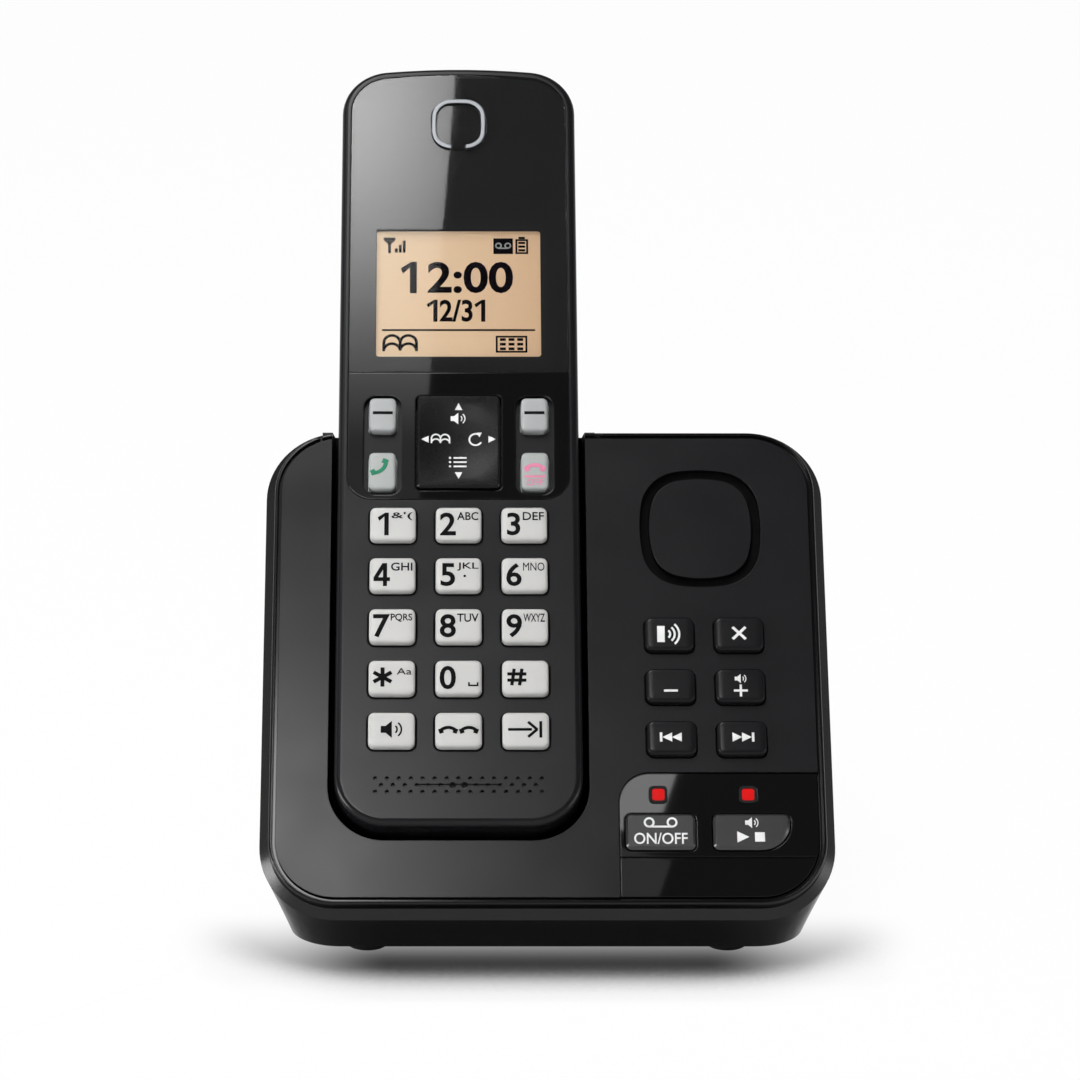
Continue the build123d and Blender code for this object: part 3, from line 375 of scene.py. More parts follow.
# Polished black acrylic: nearly a mirror, with faint wiping marks; the navigator is duller
GLOSS_BLACK = Finish("acrylic_polished_black", "#040405", 0.02, grain=9.0, relief=0.0005, soft_edge=0.3)
NAVIGATOR_BLACK = Finish(
    "abs_satin_black", "#0E0E0F", 0.18, grain=0.5, relief=0.001, soft_edge=0.3, specular=0.16
)
# Clear acrylic: the black print on its back gives the panel its depth
CLEAR_LENS = ClearFinish("acrylic_clear", "#F4F4F4", 0.02, grain=20.0, relief=0.0, mottle=0.01)
MASK_PRINT = Finish("screen_print_black", "#2A2A2B", 0.6, grain=0.5, relief=0.0, specular=0.0)
# Chromium plate on a moulded ring, and the duller metals of screws, springs and wires
CHROME = MetalFinish(
    "chromium_plate", "#6C6E71", 0.3, grain=3.0, relief=0.0005, mottle=0.02, soft_edge=0.3
)
STEEL = MetalFinish("zinc_plated_steel", "#A9ABAE", 0.32, grain=0.6, relief=0.003)
CONTACT = MetalFinish("nickel_plated_spring_steel", "#C3BDAE", 0.25, grain=1.2, relief=0.002)
GOLD_WIRE = MetalFinish("gold_plated_bronze", "#D9B25A", 0.22, grain=1.0, relief=0.001)
# Moulded keys: satin and evenly tinted, pearl grey on the handset and dark on the base
KEYPAD_GREY = Finish("abs_satin_pearl_grey", "#B9B8B6", 0.38, grain=0.5, relief=0.003, mottle=0.02)
SOFT_KEY = Finish("abs_painted_silver", "#989A9B", 0.34, grain=0.3, relief=0.002, mottle=0.05)
CALL_KEY = Finish("abs_satin_pale_grey", "#999D9B", 0.36, grain=0.5, relief=0.003, mottle=0.02)
BASE_KEY = Finish("abs_satin_dark_grey", "#161618", 0.24, grain=0.4, relief=0.003, specular=0.14)
WIDE_KEY = Finish("abs_polished_dark_grey", "#2B2B2C", 0.24, grain=0.6, relief=0.002)
# Rubbers: soft and dull, with a fine bloom
RUBBER = Finish("silicone_rubber_grey", "#8A8B8D", 0.7, grain=0.6, relief=0.01)
FOOT_RUBBER = Finish("moulded_rubber_black", "#101012", 0.8, grain=0.6, relief=0.02, specular=0.2)
# What shows through the openings: a near-black weave that also serves as painted shade in the loudspeaker
# groove, copper tracks under green lacquer, a printed sleeve
CLOTH_AND_SHADE = Finish("woven_cloth_and_painted_shade_black", "#050506", 0.9, grain=0.3, relief=0.04, specular=0.1)
BOARD = Finish("solder_masked_laminate", "#1D5A38", 0.4, grain=2.5, relief=0.02, mottle=0.25)
SLEEVE = GlossFinish("printed_cell_sleeve", "#3F6B57", 0.3, grain=2.0, relief=0.002, coat=0.3)
SOCKET_PLASTIC = Finish("nylon_black", "#101011", 0.5, grain=0.5, relief=0.008, specular=0.15)
SPEAKER = Finish("pressed_steel_and_paper", "#4A4A4C", 0.55, grain=0.8, relief=0.02, mottle=0.12)
# Plastics lit from behind, and the liquid crystal with its dark segments
BACKLIGHT = LampFinish("light_guide_white", "#F1E4CF", 0.4, glow=0.2)
LAMP_RED = LampFinish(
    "tinted_light_guide_red", "#BE1010", 0.25, grain=0.8, relief=0.002, glow=0.25, specular=0.1
)
DISPLAY = DisplayFinish("backlit_liquid_crystal", "#CBB395", 0.5, grain=0.42, glow=0.62, specular=0.0)
DISPLAY_DARK = Finish("liquid_crystal_dark", "#100C12", 0.6, grain=0.42, relief=0.0, specular=0.0)
# Pad-printed ink, a few hundredths of a millimetre thick
INK_BLACK = Finish("pad_print_black", "#0C0C0D", 0.6, grain=0.3, relief=0.001, specular=0.05)
INK_GREY = Finish("pad_print_grey", "#1A1A1C", 0.6, grain=0.3, relief=0.001, specular=0.05)
INK_WHITE = Finish("pad_print_white", "#E4E4E4", 0.5, grain=0.3, relief=0.001, mottle=0.03)
INK_GREEN = Finish("pad_print_green", "#1F7D5C", 0.5, grain=0.3, relief=0.001, specular=0.2)
INK_PINK = Finish("pad_print_pink", "#D9799B", 0.5, grain=0.3, relief=0.001)


# Shapes


def plane_at(plane: Matrix, x: float, y: float, z: float = 0.0) -> Matrix:
    """A working plane about another place of the same plane."""
    return plane @ Matrix.Translation((x, y, z))


def bend(radius: float, start: float, end: float, steps: int) -> Outline:
    """An arc about the origin, between two angles in degrees."""
    angles = [math.radians(start + (end - start) * step / steps) for step in range(steps + 1)]
    return [(radius * math.cos(angle), radius * math.sin(angle)) for angle in angles]


def moved(outline: Outline, x: float, y: float) -> Outline:
    """An outline moved by two lengths."""
    return [(x + across, y + up) for across, up in outline]


def swung(x: float, y: float, turn: float) -> Point:
    """A point turned about the origin."""
    cosine, sine = math.cos(turn), math.sin(turn)
    return cosine * x - sine * y, sine * x + cosine * y


def rounded(width: float, height: float, corner: float, steps: int = 6) -> Outline:
    """A rounded rectangle about the origin, anticlockwise.

    Args:
        width: its width.
        height: its height.
        corner: the radius of its corners.
        steps: how many sides a corner has.

    Returns:
        Its points, from the right end of the upper right corner on.
    """
    across, up = width / 2 - corner, height / 2 - corner
    corners = ((across, up, 0), (-across, up, 90), (-across, -up, 180), (across, -up, 270))
    arcs = [moved(bend(corner, start, start + 90, steps), x, y) for x, y, start in corners]
    return [point for arc in arcs for point in arc]


def circle(radius: float, count: int = 28) -> Outline:
    """A circle about the origin, anticlockwise."""
    return bend(radius, 0.0, 360.0, count)[:-1]


def bowed(width: float, height: float, power: float = 3.1, count: int = 72) -> Outline:
    """A rectangle with bowed sides and soft corners about the origin.

    Args:
        width: its width.
        height: its height.
        power: how square it is; two gives an ellipse.
        count: how many points it has.

    Returns:
        Its points, anticlockwise.
    """
    outline = []
    for x, y in circle(1.0, count):
        reach = (abs(x) ** power + abs(y) ** power) ** (-1 / power)
        outline.append((width / 2 * reach * x, height / 2 * reach * y))
    return outline


def skin(mesh: bmesh.types.BMesh, rings: list[list[bmesh.types.BMVert]]) -> None:
    """Joins each ring of points to the next one with a band of faces."""
    for ring, beside in zip(rings, rings[1:]):
        for at in range(len(ring)):
            mesh.faces.new((ring[at - 1], ring[at], beside[at], beside[at - 1]))


def raised(mesh: bmesh.types.BMesh, outline: Outline, height: float) -> list[bmesh.types.BMVert]:
    """An outline as a ring of points of a mesh."""
    return [mesh.verts.new((x, y, height)) for x, y in outline]


def strip(mesh: bmesh.types.BMesh, outer: Outline, inner: Outline, low: float, high: float) -> None:
    """A closed flat band between two outlines with equal point counts, from one height to another."""
    levels = ((outer, low), (outer, high), (inner, high), (inner, low))
    rings = [raised(mesh, outline, height) for outline, height in levels]
    skin(mesh, rings + rings[:1])


def loft(mesh: bmesh.types.BMesh, levels: list[tuple[Outline, float]]) -> None:
    """Skins a stack of outlines with equal point counts and closes both ends.

    Args:
        mesh: the mesh that gets the skin.
        levels: outlines with their heights, from the bottom up.
    """
    rings = [raised(mesh, outline, height) for outline, height in levels]
    skin(mesh, rings)
    mesh.faces.new(rings[0][::-1])
    mesh.faces.new(rings[-1])


def placed(name: str, data: bpy.types.ID) -> bpy.types.Object:
    """A new object in the scene."""
    thing = bpy.data.objects.new(name, data)
    bpy.context.scene.collection.objects.link(thing)
    return thing


def evaluated(carrier: bpy.types.Object) -> bpy.types.Mesh:
    """The mesh that an object comes to.

    Args:
        carrier: the object, which is removed.

    Returns:
        A mesh of its own.
    """
    bpy.context.view_layer.update()
    finished = carrier.evaluated_get(bpy.context.evaluated_depsgraph_get())
    shape = bpy.data.meshes.new_from_object(finished)
    carrier.modifiers.clear()
    bpy.data.objects.remove(carrier)
    return shape


@dataclass
class Stencil:
    """Printed marks, gathered as thin closed plates about a key's middle.

    Attributes:
        thickness: the height of the ink.
        mesh: the plates.
    """

    thickness: float = 0.03
    mesh: bmesh.types.BMesh = field(default_factory=bmesh.new)

    def plate(self, outline: Outline) -> "Stencil":
        """Adds one closed plate."""
        loft(self.mesh, [(outline, 0.0), (outline, self.thickness)])
        return self

    def turned(self, outline: Outline, x: float, y: float, turn: float) -> "Stencil":
        """Adds a plate that is turned about its own middle and then moved."""
        return self.plate(moved([swung(*point, turn) for point in outline], x, y))

    def bar(self, x: float, y: float, width: float, height: float, turn: float = 0.0) -> "Stencil":
        """Adds a straight bar."""
        across, up = width / 2, height / 2
        return self.turned([(-across, -up), (across, -up), (across, up), (-across, up)], x, y, turn)

    def arrow(self, x: float, y: float, size: float, facing: Facing) -> "Stencil":
        """Adds a solid triangle."""
        half = size / 2
        return self.turned([(-half, -half), (half, 0.0), (-half, half)], x, y, facing.value)

    def dot(self, x: float, y: float, radius: float) -> "Stencil":
        """Adds a round dot."""
        return self.plate(moved(circle(radius, 16), x, y))

    def arc(self, x: float, y: float, radius: float, line: float, start: float, end: float) -> "Stencil":
        """Adds a bent line.

        Args:
            x: the middle of its bend.
            y: the middle of its bend.
            radius: of the bend.
            line: the line's width.
            start: the angle in degrees where it starts.
            end: the angle where it ends.

        Returns:
            The stencil itself.
        """
        steps = max(4, int(abs(end - start) / 12))
        outer, inner = (bend(radius + side * line / 2, start, end, steps) for side in (1, -1))
        return self.plate(moved(outer + inner[::-1], x, y))

    def ring(self, x: float, y: float, radius: float, line: float) -> "Stencil":
        """Adds a circle drawn as a line."""
        outer, inner = (moved(circle(radius + side * line / 2), x, y) for side in (1, -1))
        strip(self.mesh, outer, inner, 0.0, self.thickness)
        return self

    def box(self, x: float, y: float, width: float, height: float, line: float) -> "Stencil":
        """Adds a rectangle drawn as a line.

        Args:
            x: its middle.
            y: its middle.
            width: its outer width.
            height: its outer height.
            line: the line's width.

        Returns:
            The stencil itself.
        """
        for side in (-1, 1):
            self.bar(x, y + side * (height - line) / 2, width, line)
            self.bar(x + side * (width - line) / 2, y, line, height - 2 * line)
        return self

    def receiver(self, x: float, y: float, size: float, turn: float = 0.0) -> "Stencil":
        """Adds a telephone receiver: a bent grip with two broad ends.

        Args:
            x: the middle of the grip.
            y: the middle of the grip.
            size: the receiver's length.
            turn: its angle in radians from lying with its ends down.

        Returns:
            The stencil itself.
        """
        radius, tilt = 0.62 * size, math.degrees(turn)
        across, up = swung(0.0, -radius, turn)
        self.arc(x + across, y + up, radius, 0.2 * size, 38 + tilt, 142 + tilt)
        for side in (-1, 1):
            across, up = swung(side * 0.42 * size, -0.22 * size, turn)
            self.bar(x + across, y + up, 0.26 * size, 0.3 * size, turn - side * 0.35)
        return self

    def speaker(self, x: float, y: float, size: float) -> "Stencil":
        """Adds a loudspeaker with two sound waves.

        Args:
            x: its middle.
            y: its middle.
            size: its width.

        Returns:
            The stencil itself.
        """
        self.bar(x - 0.38 * size, y, 0.22 * size, 0.34 * size)
        horn = [(-0.27, -0.17), (0.02, -0.42), (0.02, 0.42), (-0.27, 0.17)]
        self.plate([(x + a * size, y + b * size) for a, b in horn])
        for radius in (0.22, 0.42):
            self.arc(x + 0.04 * size, y, radius * size, 0.08 * size, -50, 50)
        return self

    def book(self, x: float, y: float, size: float, line: float) -> "Stencil":
        """Adds an open book.

        Args:
            x: its middle.
            y: its middle.
            size: its width.
            line: the width of its lines.

        Returns:
            The stencil itself.
        """
        for side in (-1, 1):
            middle = x + side * 0.25 * size
            self.arc(middle, y + 0.02 * size, 0.25 * size, line, 0, 180)
            self.arc(middle, y - 0.26 * size, 0.25 * size, line, 20, 160)
            self.bar(x + side * 0.5 * size, y - 0.12 * size, line, 0.3 * size)
        return self.bar(x, y - 0.1 * size, line, 0.3 * size)

    def one(self, x: float, y: float, height: float, line: float) -> "Stencil":
        """Adds a figure one with its flag.

        Args:
            x: the middle of its stem.
            y: its middle.
            height: its height.
            line: the width of its stem.

        Returns:
            The stencil itself.
        """
        top, low = y + height / 2, y - height / 2
        tip, under = top - 0.21 * height, 0.85 * line
        stem = [(x + line / 2, low), (x + line / 2, top), (x - 0.3 * line, top)]
        flag = [(x - 0.36 * height, tip), (x - 0.29 * height, tip - under)]
        return self.plate(stem + flag + [(x - line / 2, top - 0.17 * height), (x - line / 2, low)])

    def four(self, x: float, y: float, height: float, line: float) -> "Stencil":
        """Adds a figure four with an open middle.

        Args:
            x: its middle.
            y: its middle.
            height: its height.
            line: the width of its lines.

        Returns:
            The stencil itself.
        """
        stem, reach, sill = x + 0.13 * height, 0.33 * height, y - 0.2 * height
        self.bar(stem, y, line, height)
        self.bar(x, sill, 2 * reach, line)
        top, foot, slope = y + height / 2, sill + line / 2, 1.15 * line
        high, low = stem + line / 2, x - reach
        return self.plate([(low, foot), (low + slope, foot), (high, top), (high - slope, top)])

    def letters(
        self,
        words: str,
        x: float,
        y: float,
        height: float,
        stretch: float = 1.0,
        weight: float = 0.0,
        width: float = 0.0,
    ) -> "Stencil":
        """Adds plain letters or figures about a point.

        Args:
            words: what is written.
            x: the middle of the words.
            y: the middle of the words.
            height: the height of the tallest letter.
            stretch: the width of the letters against the plain ones.
            weight: how much bolder they are, as a share of their size.
            width: the width that the words are fitted to, or zero for the stretch alone.

        Returns:
            The stencil itself.
        """
        curve = bpy.data.curves.new("letters", "FONT")
        curve.body = words
        curve.extrude = 0.5
        curve.offset = weight
        curve.resolution_u = 4
        shape = evaluated(placed("letters", curve))
        bpy.data.curves.remove(curve)
        spans = list(zip(*(vertex.co for vertex in shape.vertices)))
        low, high = Vector(map(min, spans)), Vector(map(max, spans))
        scale = height / (high.y - low.y)
        across = width / (high.x - low.x) if width else scale * stretch
        shape.transform(
            Matrix.Translation((x, y, self.thickness / 2))
            @ Matrix.Diagonal((across, scale, self.thickness, 1.0))
            @ Matrix.Translation((low + high) / -2)
        )
        self.mesh.from_mesh(shape)
        bpy.data.meshes.remove(shape)
        return self


# Pieces


def level(height: float) -> Surface:
    """A flat surface at one height."""
    return lambda x, y: height


def show(piece: bpy.types.Object, body: str, slot: str, *nodes: str) -> bpy.types.Object:
    """Puts a finished piece on its body.

    Args:
        piece: the object, with its place in its mesh.
        body: the body that it moves with.
        slot: the material slot of the record that it belongs to; not used.
        nodes: the solids that it stands for.

    Returns:
        The same object.
    """
    if nodes:
        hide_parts(*nodes)
    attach(piece, body)
    log.info("%s rides on %s", piece.name, body)
    return piece


def piece_from(name: str, shape: bpy.types.Mesh, finish: Finish, sharp: float = SHARP) -> bpy.types.Object:
    """An object with smooth shading that breaks at sharp edges.

    Args:
        name: the piece's name.
        shape: its mesh, in place.
        finish: its finish.
        sharp: the angle in degrees from which an edge is sharp.

    Returns:
        The new object.
    """
    shape.materials.clear()
    shape.materials.append(finish.make())
    for face in shape.polygons:
        face.use_smooth = True
    shape.set_sharp_from_angle(angle=math.radians(sharp))
    return placed(name, shape)


def built(
    name: str,
    mesh: bmesh.types.BMesh,
    plane: Matrix,
    finish: Finish,
    body: str,
    slot: str,
    *nodes: str,
    sharp: float = SHARP,
) -> None:
    """Moves a mesh from its working plane to its place and shows it as a piece.

    Args:
        name: the piece's name.
        mesh: its mesh, which is used up.
        plane: its working plane.
        finish: its finish.
        body: the body that it moves with.
        slot: its material slot.
        nodes: the solids that it stands for.
        sharp: the angle in degrees from which an edge is sharp.
    """
    bmesh.ops.remove_doubles(mesh, verts=mesh.verts, dist=MERGE_GAP)
    bmesh.ops.recalc_face_normals(mesh, faces=mesh.faces)
    mesh.transform(plane)
    shape = bpy.data.meshes.new(name)
    mesh.to_mesh(shape)
    mesh.free()
    show(piece_from(name, shape, finish, sharp), body, slot, *nodes)


def printed(
    name: str, marks: Stencil, plane: Matrix, surface: Surface, ink: Finish, body: str, slot: str
) -> None:
    """Lays printed marks on a surface and shows them as a piece.

    Args:
        name: the piece's name.
        marks: the marks, which are used up.
        plane: their working plane.
        surface: the height of the surface over that plane.
        ink: their finish.
        body: the body that they move with.
        slot: the material slot of what they lie on.
    """
    for vertex in marks.mesh.verts:
        vertex.co.z += surface(vertex.co.x, vertex.co.y)
    built(name, marks.mesh, plane, ink, body, slot)


def region(
    first: bmesh.types.BMFace, limit: float, vertex: bmesh.types.BMVert | None = None
) -> list[bmesh.types.BMFace]:
    """The faces that join a face across edges that bend little.

    Args:
        first: the face.
        limit: the greatest bend of such an edge in radians.
        vertex: the vertex that such an edge has to touch, or None for any edge.

    Returns:
        The faces, the first one included.
    """
    found, waiting = {first: None}, [first]
    while waiting:
        for edge in waiting.pop().edges:
            if vertex is not None and vertex not in edge.verts:
                continue
            if len(edge.link_faces) != 2 or edge.calc_face_angle(math.pi) > limit:
                continue
            for other in edge.link_faces:
                if other not in found:
                    found[other] = None
                    waiting.append(other)
    return list(found)


def flat_areas(mesh: bmesh.types.BMesh, limit: float) -> list[float]:
    """The area of the flat region that each face belongs to.

    Args:
        mesh: a mesh with joined faces.
        limit: the angle in radians up to which two faces count as one flat region.

    Returns:
        One area for each face, by its index.
    """
    areas = [0.0] * len(mesh.faces)
    for first in mesh.faces:
        if not areas[first.index]:
            faces = region(first, limit)
            total = sum(face.calc_area() for face in faces)
            for face in faces:
                areas[face.index] = total
    return areas


def corner_normal(corner: bmesh.types.BMLoop, areas: list[float], limit: float) -> Vector:
    """The shading normal at one corner of a face, which large flat regions decide.

    Args:
        corner: the corner.
        areas: the area of each face's flat region.
        limit: the angle in radians from which an edge is sharp.

    Returns:
        A unit normal.
    """
    total = Vector()
    for face in region(corner.face, limit, corner.vert):
        total += face.normal * areas[face.index] ** 2
    return total.normalized()


def smoothed(node: str, finish: Finish, slot: str, sharp: float = SHARP) -> bpy.types.Object:
    """A copy of a solid with joined faces and even shading, which stands for it.

    Args:
        node: the solid's name.
        finish: the finish that it gets.
        slot: its material slot.
        sharp: the angle in degrees from which an edge is sharp.

    Returns:
        The copy.
    """
    source = frame["nodes"][node]
    mesh = bmesh.new()
    mesh.from_mesh(source.data)
    bmesh.ops.remove_doubles(mesh, verts=mesh.verts, dist=JOIN_GAP * MM)
    mesh.faces.index_update()
    mesh.normal_update()
    areas = flat_areas(mesh, math.radians(FLAT_BEND))
    limit = math.radians(sharp)
    normals = [corner_normal(corner, areas, limit) for face in mesh.faces for corner in face.loops]
    shape = bpy.data.meshes.new(node + "_skin")
    mesh.to_mesh(shape)
    mesh.free()
    piece = piece_from(node + "_skin", shape, finish, sharp)
    shape.normals_split_custom_set(normals)
    return show(piece, source["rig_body"], slot, node)


def repeated_blocks(
    name: str, counts: tuple[int, int], pitch: Point, size: Place, finish: Finish
) -> bpy.types.Object:
    """Small equal blocks in rows, made by geometry nodes about the origin.

    Args:
        name: the piece's name.
        counts: how many blocks lie across and up.
        pitch: their spacing across and up.
        size: one block's width, height and depth.
        finish: their finish.

    Returns:
        The blocks as one plain mesh object, in millimetres.
    """
    values = {
        "Vertices X": ("NodeSocketInt", counts[0]),
        "Vertices Y": ("NodeSocketInt", counts[1]),
        "Size X": ("NodeSocketFloat", (counts[0] - 1) * pitch[0]),
        "Size Y": ("NodeSocketFloat", (counts[1] - 1) * pitch[1]),
        "Block Size": ("NodeSocketVector", size),
        "Finish": ("NodeSocketMaterial", finish.make()),
    }
    tree = bpy.data.node_groups.new(name + "_rows", "GeometryNodeTree")
    tree.interface.new_socket("Geometry", in_out="OUTPUT", socket_type="NodeSocketGeometry")
    identifiers = {
        label: tree.interface.new_socket(label, in_out="INPUT", socket_type=kind).identifier
        for label, (kind, _) in values.items()
    }
    given = add_node(tree, "NodeGroupInput").outputs
    spans = {label: given[label] for label in ("Vertices X", "Vertices Y", "Size X", "Size Y")}
    points = add_node(tree, "GeometryNodeMeshGrid", spans).outputs["Mesh"]
    block = add_node(tree, "GeometryNodeMeshCube", {"Size": given["Block Size"]}).outputs["Mesh"]
    copies = add_node(tree, "GeometryNodeInstanceOnPoints", {"Points": points, "Instance": block})
    real = add_node(tree, "GeometryNodeRealizeInstances", {"Geometry": copies.outputs["Instances"]})
    looks = {"Geometry": real.outputs["Geometry"], "Material": given["Finish"]}
    dressed = add_node(tree, "GeometryNodeSetMaterial", looks)
    add_node(tree, "NodeGroupOutput", {0: dressed.outputs["Geometry"]})
    carrier = placed(name + "_carrier", bpy.data.meshes.new(name + "_carrier"))
    rows = carrier.modifiers.new("rows", "NODES")
    rows.node_group = tree
    for label, (_, value) in values.items():
        rows[identifiers[label]] = value
    shape = evaluated(carrier)
    shape.name = name
    return piece_from(name, shape, finish)


@dataclass
class KeyForm:
    """The moulded form of a key: cap, flange under the wall and a foot.

    Attributes:
        width: of the cap.
        height: of the cap.
        corner: radius of its corners.
        proud: how far it stands out of the face.
        edge: radius of its top edge.
        crown: how much its middle is higher than its edge.
        flange: how far the flange stands out all round.
        flange_top: depth of the flange's top.
        flange_depth: thickness of the flange.
        foot: depth of the foot.
        stem: radius of the foot, or zero where the whole cap goes down to it.
        least_corner: the smallest radius of a corner.
        print_gap: how far print stands clear of the top.
        edge_steps: how many bands the top edge has.
        crown_shares: where the rings of the crown lie between its middle and its rim.
    """

    width: float
    height: float
    corner: float
    proud: float
    edge: float = 0.55
    crown: float = 0.03
    flange: float = 0.6
    flange_top: float = 1.85
    flange_depth: float = 0.75
    foot: float = 3.38
    stem: float = 0.0
    least_corner: float = 0.15
    print_gap: float = 0.015
    edge_steps: int = 4
    crown_shares: tuple[float, ...] = (0.8, 0.55, 0.3, 0.1)

    def outline(self, grow: float) -> Outline:
        """The cap's outline, grown by a length."""
        corner = max(self.least_corner, self.corner + grow)
        return rounded(self.width + 2 * grow, self.height + 2 * grow, corner)

    def mesh(self) -> bmesh.types.BMesh:
        """The key about its own middle, from its foot up to its crown.

        Returns:
            A closed mesh.
        """
        below = self.flange_top + self.flange_depth
        cap, flange = self.outline(0), self.outline(self.flange)
        foot = circle(self.stem) if self.stem else cap
        levels = [(foot, -self.foot), (foot, -below)]
        levels += [(flange, -below), (flange, -self.flange_top), (cap, -self.flange_top)]
        shoulder = self.proud - self.crown - self.edge
        for step in range(self.edge_steps + 1):
            angle = math.pi / 2 * step / self.edge_steps
            inset = self.edge * (1 - math.cos(angle))
            levels.append((self.outline(-inset), shoulder + self.edge * math.sin(angle)))
        rim = self.outline(-self.edge)
        for share in self.crown_shares:
            ring = [(x * share, y * share) for x, y in rim]
            levels.append((ring, self.proud - self.crown * share * share))
        mesh = bmesh.new()
        loft(mesh, levels)
        return mesh

    def top(self, x: float, y: float) -> float:
        """The height of the key's top at a place, just clear of it for print."""
        share = max(abs(x) / (self.width / 2 - self.edge), abs(y) / (self.height / 2 - self.edge))
        return self.proud - self.crown * min(1.0, share) ** 2 + self.print_gap

    def mould(self, name: str, plane: Matrix, finish: Finish, slot: str) -> None:
        """Makes the cap of a key, which stands for its solid."""
        built(name + "_cap", self.mesh(), plane, finish, name, slot, name, sharp=CAP_SHARP)

    def stamp(self, name: str, kind: str, marks: Stencil, plane: Matrix, ink: Finish, slot: str) -> None:
        """Prints marks of one kind on the top of a key."""
        printed(f"{name}_{kind}", marks, plane, self.top, ink, name, slot)


def key_places(rows: KeyRows, first: Point, pitch: Point) -> list[tuple[str, float, float]]:
    """Each key of a field with its place.

    Args:
        rows: the keys' names, from the lowest row up and from the left.
        first: the place of the lowest key on the left.
        pitch: the spacing across and up.

    Returns:
        Names with their places across and up.
    """
    return [
        (name, first[0] + column * pitch[0], first[1] + row * pitch[1])
        for row, names in enumerate(rows)
        for column, name in enumerate(names)
    ]


@dataclass
class Keypad:
    """The fifteen pearl-grey keys of the handset with their figures, and flat rings of painted shade round
    their holes.
    """

    form: KeyForm = field(default_factory=lambda: KeyForm(9.0, 7.2, 1.2, 1.5))
    slot: str = "keypad_grey"
    first: Point = (-12.95, 18.97)
    pitch: Point = (12.95, 10.88)
    figure_place: Point = (-2.1, -0.1)
    figure_height: float = 4.9
    figure_weight: float = 0.018
    letter_place: Point = (1.8, 1.6)
    letter_height: float = 1.75
    letter_width: float = 4.2
    letter_weight: float = 0.012
    thin_letter: str = "M"  # it would close up, so its group stays thin
    # a flat near-black ring round each key's hole, painted shade: its gap, width and height
    shade_ring_gap: float = 0.06
    shade_ring_width: float = 0.4
    shade_ring_height: float = 0.02
    rows: KeyRows = (
        ("key_speakerphone", "key_intercom", "key_flash"),
        ("key_star", "key_0", "key_pound"),
        ("key_7", "key_8", "key_9"),
        ("key_4", "key_5", "key_6"),
        ("key_1", "key_2", "key_3"),
    )
    letter_groups: tuple[str, ...] = ("", "&'(", "ABC", "DEF", "GHI", "JKL", "MNO", "PQRS", "TUV", "WXYZ")

    def figure(self, sign: str) -> Stencil:
        """The black figure of one of the ten number keys.

        Args:
            sign: the figure.

        Returns:
            Its marks.
        """
        marks = Stencil()
        if sign == "1":
            return marks.one(-1.25, -0.1, self.figure_height, 0.88)
        if sign == "4":
            return marks.four(*self.figure_place, self.figure_height, 0.8)
        if sign == "5":
            marks.dot(1.2, -0.4, 0.26)
        if sign == "0":
            marks.bar(2.85, -1.75, 2.0, 0.32)
            for side in (-1, 1):
                marks.bar(2.85 + side * 0.84, -1.34, 0.32, 0.5)
        return marks.letters(sign, *self.figure_place, self.figure_height, weight=self.figure_weight)

    def sign(self, sign: str) -> Stencil:
        """The black sign of one of the other keys.

        Args:
            sign: what the key does.

        Returns:
            Its marks.
        """
        marks = Stencil()
        if sign == "star":
            marks.letters("Aa", 2.4, 1.2, 1.4, width=2.9)
            for turn in (90, 150, 210):
                marks.bar(-1.8, 0.0, 4.0, 0.78, math.radians(turn))
            return marks
        if sign == "pound":
            for side in (-1, 1):
                marks.bar(-1.65, side * 0.65, 3.7, 0.65)
                marks.bar(-1.65 + side * 0.75, 0.0, 0.65, 3.5, math.radians(-8))
            return marks
        if sign == "speakerphone":
            return marks.speaker(0.0, 0.0, 4.2)
        if sign == "intercom":
            return marks.receiver(-2.0, 0.4, 3.3).receiver(2.0, 0.4, 3.3)
        marks.bar(-1.1, 0.0, 4.6, 0.55)
        for side in (-1, 1):
            marks.bar(1.35, side * 0.75, 2.4, 0.55, side * math.radians(-42))
        return marks.bar(2.9, 0.0, 0.55, 3.4)

    def build(self) -> None:
        """Makes every key with its print, and a flat dark ring round each hole, which is painted shade."""
        shade_rings = bmesh.new()
        edges = (self.shade_ring_gap + self.shade_ring_width, self.shade_ring_gap)
        for name, x, y in key_places(self.rows, self.first, self.pitch):
            outer, inner = (moved(self.form.outline(grow), x, y) for grow in edges)
            strip(shade_rings, outer, inner, 0.0, self.shade_ring_height)
            plane = plane_at(handset_plane, x, y)
            self.form.mould(name, plane, KEYPAD_GREY, self.slot)
            sign = name.removeprefix("key_")
            marks = self.figure(sign) if sign.isdigit() else self.sign(sign)
            self.form.stamp(name, "figure", marks, plane, INK_BLACK, self.slot)
            group = self.letter_groups[int(sign)] if sign.isdigit() else ""
            if group:
                weight = 0.0 if self.thin_letter in group else self.letter_weight
                small = Stencil().letters(
                    group, *self.letter_place, self.letter_height, weight=weight, width=self.letter_width
                )
                self.form.stamp(name, "letters", small, plane, INK_GREY, self.slot)
        built("key_hole_shade_rings", shade_rings, handset_plane, PAINTED_SHADE_BLACK, HANDSET_BODY, "handset_shell")


